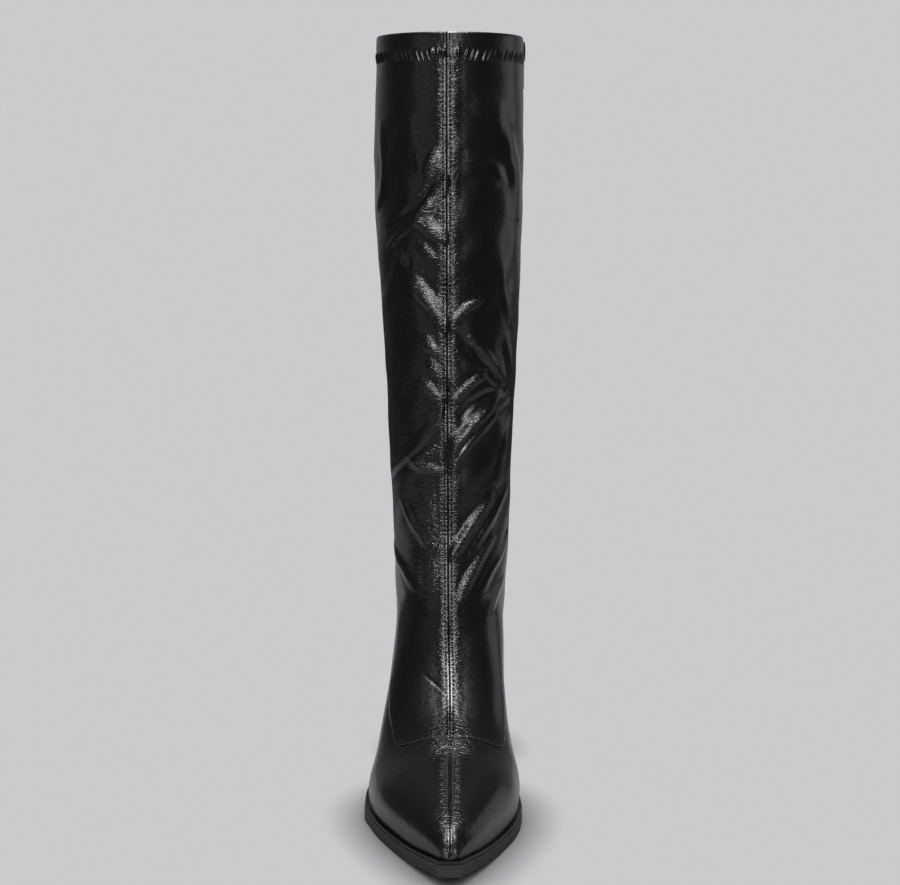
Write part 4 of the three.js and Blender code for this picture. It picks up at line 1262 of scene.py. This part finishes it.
def rods(centres, heading, normal, length, width, height, rings=7, sides=6):
    """Rounded rods, one laid along its heading at each centre: points, and faces between them. The girth is
    sin^ROD_FULLNESS of the turn from one end to the other."""
    turn = np.linspace(0, math.pi, rings)[:, None, None]
    about = (np.arange(sides) * 2 * math.pi / sides)[None, :, None]
    heading = heading / np.linalg.norm(heading, axis=-1, keepdims=True)
    across = np.cross(normal, heading)
    girth = np.sin(turn) ** ROD_FULLNESS
    points = (
        centres[:, None, None]
        - heading[:, None, None] * np.cos(turn) * length / 2
        + across[:, None, None] * girth * np.cos(about) * width / 2
        + normal[:, None, None] * girth * np.sin(about) * height / 2
    )
    quads = grid_quads(rings, sides, wrap=True)
    starts = np.arange(len(centres))[:, None, None] * rings * sides
    return points.reshape(-1, 3), (quads[None] + starts).reshape(-1, 4)


def steps_along(face, normal, pitch, first):
    """Points, headings and normals at even steps along a line, the first at a share of the pitch."""
    way = way_along(face)
    at = np.arange(pitch * first, way[-1], pitch)
    parts = (face, np.gradient(face, axis=0), normal)
    return [np.stack([np.interp(at, way, axis) for axis in part.T], axis=1) for part in parts]


def sew(name, lines, pitch, length, width, sunk, finish):
    """One piece of thread work along lines of (stations, distances), its stitches sunk below the leather."""
    rows = []
    for stations, distances in lines:
        face = leather_grid(stations, distances, 0 * distances)["outer"]
        normal = face_at(stations, distances)[1]
        middle, heading, normal = steps_along(face, normal, pitch, 0.5)
        rows.append((middle - normal * sunk, heading, normal))
    middles, headings, normals = (np.concatenate(parts) for parts in zip(*rows))
    points, faces = rods(middles, headings, normals, length, width, width * STITCH_FLATNESS)
    made = make_piece(name, points, faces, finish)
    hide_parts("upper")


def seam_line(start, end, beside):
    """A line at an even distance beside the front seam, between two stations."""
    stations = np.linspace(start, end, LINE_POINTS)
    height = upper_surface(stations, 0 * stations)[:, 2]
    return stations, seam["side"](height) + beside


LINES_END = COLLAR - 0.35
SHAFT_SEAM = 2.1
VAMP_SEAM = 1.5
ZIP_SEAM = SLOT_WIDTH / 2 + 1.8
turn = np.linspace(0, math.pi / 2, CORNER_POINTS)
inner_round = PANEL_CORNER - EDGE_INSET
corner_stations = PANEL_FOOT + (PANEL_CORNER - inner_round * np.cos(turn)) * stations_per_mm
up = np.linspace(corner_stations[-1], LINES_END, LINE_POINTS)[1:]
panel_lines = []
for side in (-1, 1):
    corner = side * (edge_distance(corner_stations, side) - PANEL_CORNER + inner_round * np.sin(turn))
    straight = side * (edge_distance(up, side) - EDGE_INSET)
    panel_lines.append((np.concatenate([corner_stations, up]), np.concatenate([corner, straight])))
flat = np.linspace(*[distances[0] for stations, distances in panel_lines], FLAT_POINTS)
panel_lines.append((np.full(FLAT_POINTS, corner_stations[0]), flat))
zip_rows = np.linspace(ZIP_FOOT + 0.1, LINES_END, LINE_POINTS)
zip_middle = distance_at(zip_rows, zip_line(zip_rows))
zip_lines = [(zip_rows, zip_middle + side * ZIP_SEAM) for side in (-1, 1)]
shaft_lines = [seam_line(THROAT + 0.1, COLLAR - 0.02, side * SHAFT_SEAM) for side in (-1, 1)]
vamp_lines = [seam_line(0.9, THROAT - 0.1, side * VAMP_SEAM) for side in (-1, 1)]
SEWN = table(
    "name lines pitch length width sunk finish",
    [
        ("seam_stitches", shaft_lines, 2.6, 2.05, 0.95, 0.05 - PANEL_STEP, thread),
        ("vamp_stitches", vamp_lines, 1.8, 0.6, 0.45, -0.2, glint_thread),
        ("panel_stitches", panel_lines, 1.8, 0.65, 0.42, -0.45, glint_thread),
        ("zip_stitches", zip_lines, 2.6, 1.9, 0.55, 0.05, thread),
    ],
)
for row in SEWN:
    sew(**row)


# Collar: the leather is turned over an elastic and gathered by it. The band is smooth above and puckered
# below, where short folds lean towards the front seam. The seam runs over it, and it is cut for the zip.
# out: from the upper's face. share: how much of the relief the point takes.
BAND_ROWS = table(
    "out height share",
    [
        (0.12, 424.0, 0.6),
        (0.5, 424.2, 0.9),
        (0.62, 425.2, 1),
        (0.68, 426.2, 1),
        (0.75, 427.2, 1),
        (0.85, 428.2, 1),
        (0.95, 429.2, 1),
        (1.05, 430.2, 1),
        (1.1, 431.2, 1),
        (1.1, 432.4, 1),
        (1.1, 434.4, 1),
        (1.1, 436.8, 1),
        (1.08, 438.4, 1),
        (0.9, 439.3, 1),
        (0.45, 439.85, 0.8),
        (-0.2, 440.0, 0.3),
        (-0.9, 439.6, 0),
        (-1.25, 438.6, 0),
        (-1.3, 433, 0),
        (-1.3, 427, 0),
        (-1.2, 426.35, 0),
        (-0.4, 426.2, 0),
        (0.06, 426, 0),
        (0.08, 424.6, 0.4),
    ],
)
GATHER_TOP = 430.6
GATHER_LEAN = 0.34
GATHER_PITCH = 3.5
GATHER_RISE = 0.65
GATHER_WIDTH = 0.55
GATHER_FADE = 1.5
FIRST_GATHERS = (13.9, 10.2)
GATHER_DRIFTS = table("much rate", [(0.5, 2.4), (0.3, 5.1)])
GATHER_RAGGED = (0.5, 3.3)
PUFFS = table("at width", [(-10.2, 1.35), (-6.7, 1.3), (-3.9, 0.8), (4.6, 0.9)])
PUFF_RISE = 1.35
PUFF_HEIGHT = 428.3
PUFF_LENGTH = 2.2
DIPS = table("depth height width", [(0.35, 425.4, 1.2), (0.25, 431.4, 0.8)])


def gathers(distance, height):
    """Relief of the collar's gathers: narrow folds GATHER_PITCH apart, each a little off its place by sines
    of its number, and broader puffs by the front seam. Two shallow dips run round the band."""
    lean = np.abs(distance) - GATHER_LEAN * (height - GATHER_TOP)
    side = np.where(distance < 0, *FIRST_GATHERS)
    number = np.maximum(np.round((lean - side) / GATHER_PITCH), 0)
    drift = sum(part["much"] * np.sin(number * part["rate"]) for part in GATHER_DRIFTS)
    offset = lean - side - number * GATHER_PITCH - drift
    ragged, rate = GATHER_RAGGED
    window = eased(GATHER_TOP + ragged * np.sin(number * rate) - height, 0, GATHER_FADE)
    relief = GATHER_RISE * bell(offset, GATHER_WIDTH) * window
    for puff in PUFFS:
        shape = bell(distance - puff["at"], puff["width"]) * bell(height - PUFF_HEIGHT, PUFF_LENGTH)
        relief = np.maximum(relief, PUFF_RISE * shape)
    return relief - sum(dip["depth"] * bell(height - dip["height"], dip["width"]) for dip in DIPS)


BAND_FRONT = 14
BAND_CRINKLE = 0.12
PUFF_CRINKLE = 0.5
PUFFS_OFF = 6
PUFFS_UP = 427
PUFFS_REACH = 4
DEEPEST = -0.35
leg_part = girth_stations > SEAT_CORNER + 2
band_out, band_up, band_share = (values_of(BAND_ROWS, name) for name in ("out", "height", "share"))
band_stations = np.interp(band_up, front_line[leg_part, 2], girth_stations[leg_part])
band_middle = float(distance_at(COLLAR, 90.0))
band_ways = [float(whole_way(COLLAR, side)) for side in (-1, 1)]
# Columns of the band from one edge of the slot round the back and the front to the other.
BAND_SPANS = table(
    "start end count",
    [
        (band_middle + SLOT_WIDTH / 2, band_ways[1], 110),
        (-band_ways[0], -BAND_FRONT, 420),
        (-BAND_FRONT, BAND_FRONT, 140),
        (BAND_FRONT, band_middle - SLOT_WIDTH / 2, 170),
    ],
)
band_distances = [np.linspace(span["start"], span["end"], span["count"]) for span in BAND_SPANS]
band_distances = np.concatenate([band_distances[0]] + [columns[1:] for columns in band_distances[1:]])
band_places, band_spread = np.broadcast_arrays(band_stations[None, :], band_distances[:, None])
share_round = np.where(band_spread >= 0, band_ways[1], band_ways[0])
band_whole = np.where(band_spread >= 0, whole_way(band_places, 1), whole_way(band_places, -1))
band_on = band_spread / share_round * band_whole
band_angle = angle_at(band_places, band_on)
band_base = upper_surface(band_places, band_angle)
band_normal = upper_normal(np.minimum(band_places, COLLAR - 0.05), band_angle)
band_height = band_base[..., 2]
band_beside = band_on - seam["side"](band_height)
band_relief = seam_relief(band_beside, band_height) + gathers(band_on, band_height)
band_lift = band_out[None, :] + band_share[None, :] * np.maximum(band_relief, DEEPEST)
band_points = band_base + band_normal * band_lift[..., None]
band_count = len(BAND_ROWS)
band_faces = grid_quads(len(band_distances), band_count, wrap=True).tolist()
band_faces.append(list(range(band_count)))
band_total = len(band_distances) * band_count
band_faces.append(list(range(band_total - band_count, band_total))[::-1])
puffed = bell(np.abs(band_beside) - PUFFS_OFF, PUFFS_REACH) * bell(band_height - PUFFS_UP, PUFFS_REACH)
band_values = {"crinkle": BAND_CRINKLE + PUFF_CRINKLE * puffed, "polish": polish_at(band_beside)}
band_uv = np.stack([band_beside, band_height], axis=-1)
band = make_piece("collar_binding", band_points, band_faces, leather, band_uv, band_values)
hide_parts("collar_band")


# Zip: a black nylon coil on woven tape, closed to the top, with a plain metal slider and a flat pull.
black_metal = new_material("black_metal", Base_Color=(0.006, 0.006, 0.007, 1), Roughness=0.3, Metallic=0.4)
metal_wear = texture_height(black_metal, grain, Scale=900, Detail=4)
feed(black_metal, Roughness=remap(black_metal, metal_wear, To_Min=0.18, To_Max=0.42))
nylon = new_material("nylon", Base_Color=(0.01, 0.01, 0.011, 1), Roughness=0.36)
feed(nylon, Normal=add_bump(nylon, texture_height(nylon, grain, Scale=2500, Detail=2), 0.05))
tape = new_material("zip_tape", Base_Color=(0.008, 0.008, 0.009, 1), Roughness=0.85)
feed(tape, Normal=add_bump(tape, texture_height(tape, twist, Scale=420, Distortion=0.6), 0.15))
TOOTH_PITCH = 1.4
TOOTH_DEPTH = -1.2
TOOTH_OFF = 0.9
TOOTH_SIZE = (3.4, 0.85, 0.9)
TOOTH_POINTS = 500
tooth_rows = np.linspace(ZIP_FOOT + 0.15, COLLAR - 0.05, TOOTH_POINTS)
tooth_angle = zip_line(tooth_rows)
tooth_face = upper_surface(tooth_rows, tooth_angle)
tooth_normal = upper_normal(tooth_rows, tooth_angle)
coil = []
for side in (-1, 1):
    middle, heading, normal = steps_along(tooth_face, tooth_normal, TOOTH_PITCH, 0.5 + 0.25 * side)
    across = np.cross(normal, heading / np.linalg.norm(heading, axis=1, keepdims=True))
    middle = middle + normal * TOOTH_DEPTH + across * side * TOOTH_OFF
    coil.append(rods(middle, across, normal, *TOOTH_SIZE))
coil_points = np.concatenate([points for points, faces in coil])
coil_faces = np.concatenate([coil[0][1], coil[1][1] + len(coil[0][0])])
teeth = make_piece("zip_coil", coil_points, coil_faces, nylon)
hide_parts("zip_teeth")
slider_box = [np.array(corner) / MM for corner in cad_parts["zip_slider"].bound_box]
slider_low, slider_high = np.min(slider_box, axis=0), np.max(slider_box, axis=0)
slider_middle = (slider_low + slider_high) / 2
upright, outward = np.array([[0, 0, 1.0]]), np.array([[1.0, 0, 0]])
slider_size = (slider_high - slider_low)[::-1]
slider_points, slider_faces = rods(slider_middle[None], upright, outward, *slider_size, rings=25, sides=32)
slider = make_piece("zip_slider_body", slider_points, slider_faces, black_metal)
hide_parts("zip_slider")
refinish("zip_tape", tape)
refinish("zip_pull", black_metal)

# Studio: a pale glowing floor in the backdrop's own colour with a painted contact shadow close to the sole,
# a tall soft light behind the camera, one overhead, and dim light from the floor, the sides and the back.
BACKDROP = (0.597, 0.591, 0.604)
FLOOR_REACH = 3.0
floor_corners = [(x * FLOOR_REACH, y * FLOOR_REACH, 0) for x, y in ((-1, -1), (1, -1), (1, 1), (-1, 1))]
floor_mesh = bpy.data.meshes.new("floor")
floor_mesh.from_pydata(floor_corners, [], [(0, 1, 2, 3)])
floor = bpy.data.objects.new("floor", floor_mesh)
bpy.context.scene.collection.objects.link(floor)
paper = new_material(
    "paper", Base_Color=(0, 0, 0, 1), Roughness=1.0, Specular_IOR_Level=0.0, Emission_Strength=1.0
)
floor_mesh.materials.append(paper)


def in_mirrors(owner, plain, mirrored):
    """The plain value, and in what is seen by reflection the mirrored one."""
    mix = add_node(owner, "ShaderNodeMix")
    mix.inputs["A"].default_value = plain
    link(owner, add_node(owner, "ShaderNodeLightPath").outputs["Is Glossy Ray"], mix.inputs["Factor"])
    link(owner, mirrored, mix.inputs["B"])
    return mix.outputs["Result"]


# Painted contact shadow: the floor's glow is darkened by ambient occlusion within 28 mm, raised to the power
# 1.7.
paper_close = add_node(paper, "ShaderNodeAmbientOcclusion", samples=24, Distance=0.028)
painted_floor_shadow = add_node(paper, "ShaderNodeMath", operation="POWER")
painted_floor_shadow.inputs[1].default_value = 1.7
paper_colour = add_node(paper, "ShaderNodeVectorMath", operation="SCALE")
paper_colour.inputs[0].default_value = BACKDROP
paper_far = add_node(paper, "ShaderNodeVectorMath", operation="LENGTH")
paper_bright = add_node(paper, "ShaderNodeMath", operation="MULTIPLY")
link(paper, add_node(paper, "ShaderNodeTexCoord").outputs["Object"], paper_far.inputs[0])
near_limits = {"From_Min": 0.25, "From_Max": 0.9, "To_Min": 0.75, "To_Max": 0.06}
paper_near = remap(paper, paper_far.outputs["Value"], interpolation_type="SMOOTHSTEP", **near_limits)
link(paper, paper_close.outputs["AO"], painted_floor_shadow.inputs[0])
link(paper, painted_floor_shadow.outputs["Value"], paper_bright.inputs[0])
link(paper, in_mirrors(paper, 1, paper_near), paper_bright.inputs[1])
link(paper, paper_bright.outputs["Value"], paper_colour.inputs["Scale"])
feed(paper, Emission_Color=paper_colour.outputs["Vector"])

# Soft lights, in metres and watts, turned to their targets. A core is a bright line in the middle of a
# light.
LIGHT_ROWS = table(
    "name position target width height power",
    [
        ("front", (0, -1.6, 0.3), (0, 0, 0.3), 0.8, 1.5, 6.5),
        ("front_core", (0, -1.58, 0.3), (0, 0, 0.3), 0.14, 1.5, 12),
        ("overhead", (0, -0.25, 1.3), (0, -0.249, 0), 0.6, 1.5, 5),
        ("overhead_core", (0, -0.25, 1.28), (0, -0.249, 0), 0.12, 1.5, 24),
        ("inner_side", (1.36, 0.63, 0.35), (0, 0, 0.3), 0.7, 0.9, 0.9),
        ("outer_side", (-1.2, -1.0, 0.3), (0, 0, 0.25), 0.8, 1.2, 1.0),
    ],
)
for row in LIGHT_ROWS:
    light_data = bpy.data.lights.new(row["name"], "AREA")
    light_data.shape = "RECTANGLE"
    light_data.size, light_data.size_y = row["width"], row["height"]
    light_data.energy = row["power"]
    light = bpy.data.objects.new(row["name"], light_data)
    light.location = row["position"]
    towards = light.location.copy()
    towards.x, towards.y, towards.z = np.subtract(row["target"], row["position"])
    light.rotation_euler = towards.to_track_quat("-Z", "Y").to_euler()
    light.visible_diffuse = False
    bpy.context.scene.collection.objects.link(light)

backdrop = bpy.data.worlds.new("backdrop")
bpy.context.scene.world = backdrop
backdrop.use_nodes = True
sky = backdrop.node_tree.nodes["Background"]
sky.inputs["Color"].default_value = (*BACKDROP, 1)
sky_split = add_node(backdrop, "ShaderNodeSeparateXYZ")
sky_sum = add_node(backdrop, "ShaderNodeMath", operation="MAXIMUM")
link(backdrop, add_node(backdrop, "ShaderNodeTexCoord").outputs["Generated"], sky_split.inputs["Vector"])
SKY_ROWS = table(
    "axis From_Min From_Max To_Min To_Max", [("Y", 0.6, 0.95, 0.1, 0.4), ("Z", 0.2, 0.6, 0.0, 0.12)]
)
for part, row in zip(sky_sum.inputs, SKY_ROWS):
    facing = sky_split.outputs[row.pop("axis")]
    link(backdrop, remap(backdrop, facing, interpolation_type="SMOOTHSTEP", **row), part)
link(backdrop, in_mirrors(backdrop, 1, sky_sum.outputs["Value"]), sky.inputs["Strength"])
bpy.context.scene.view_settings.view_transform = "Standard"
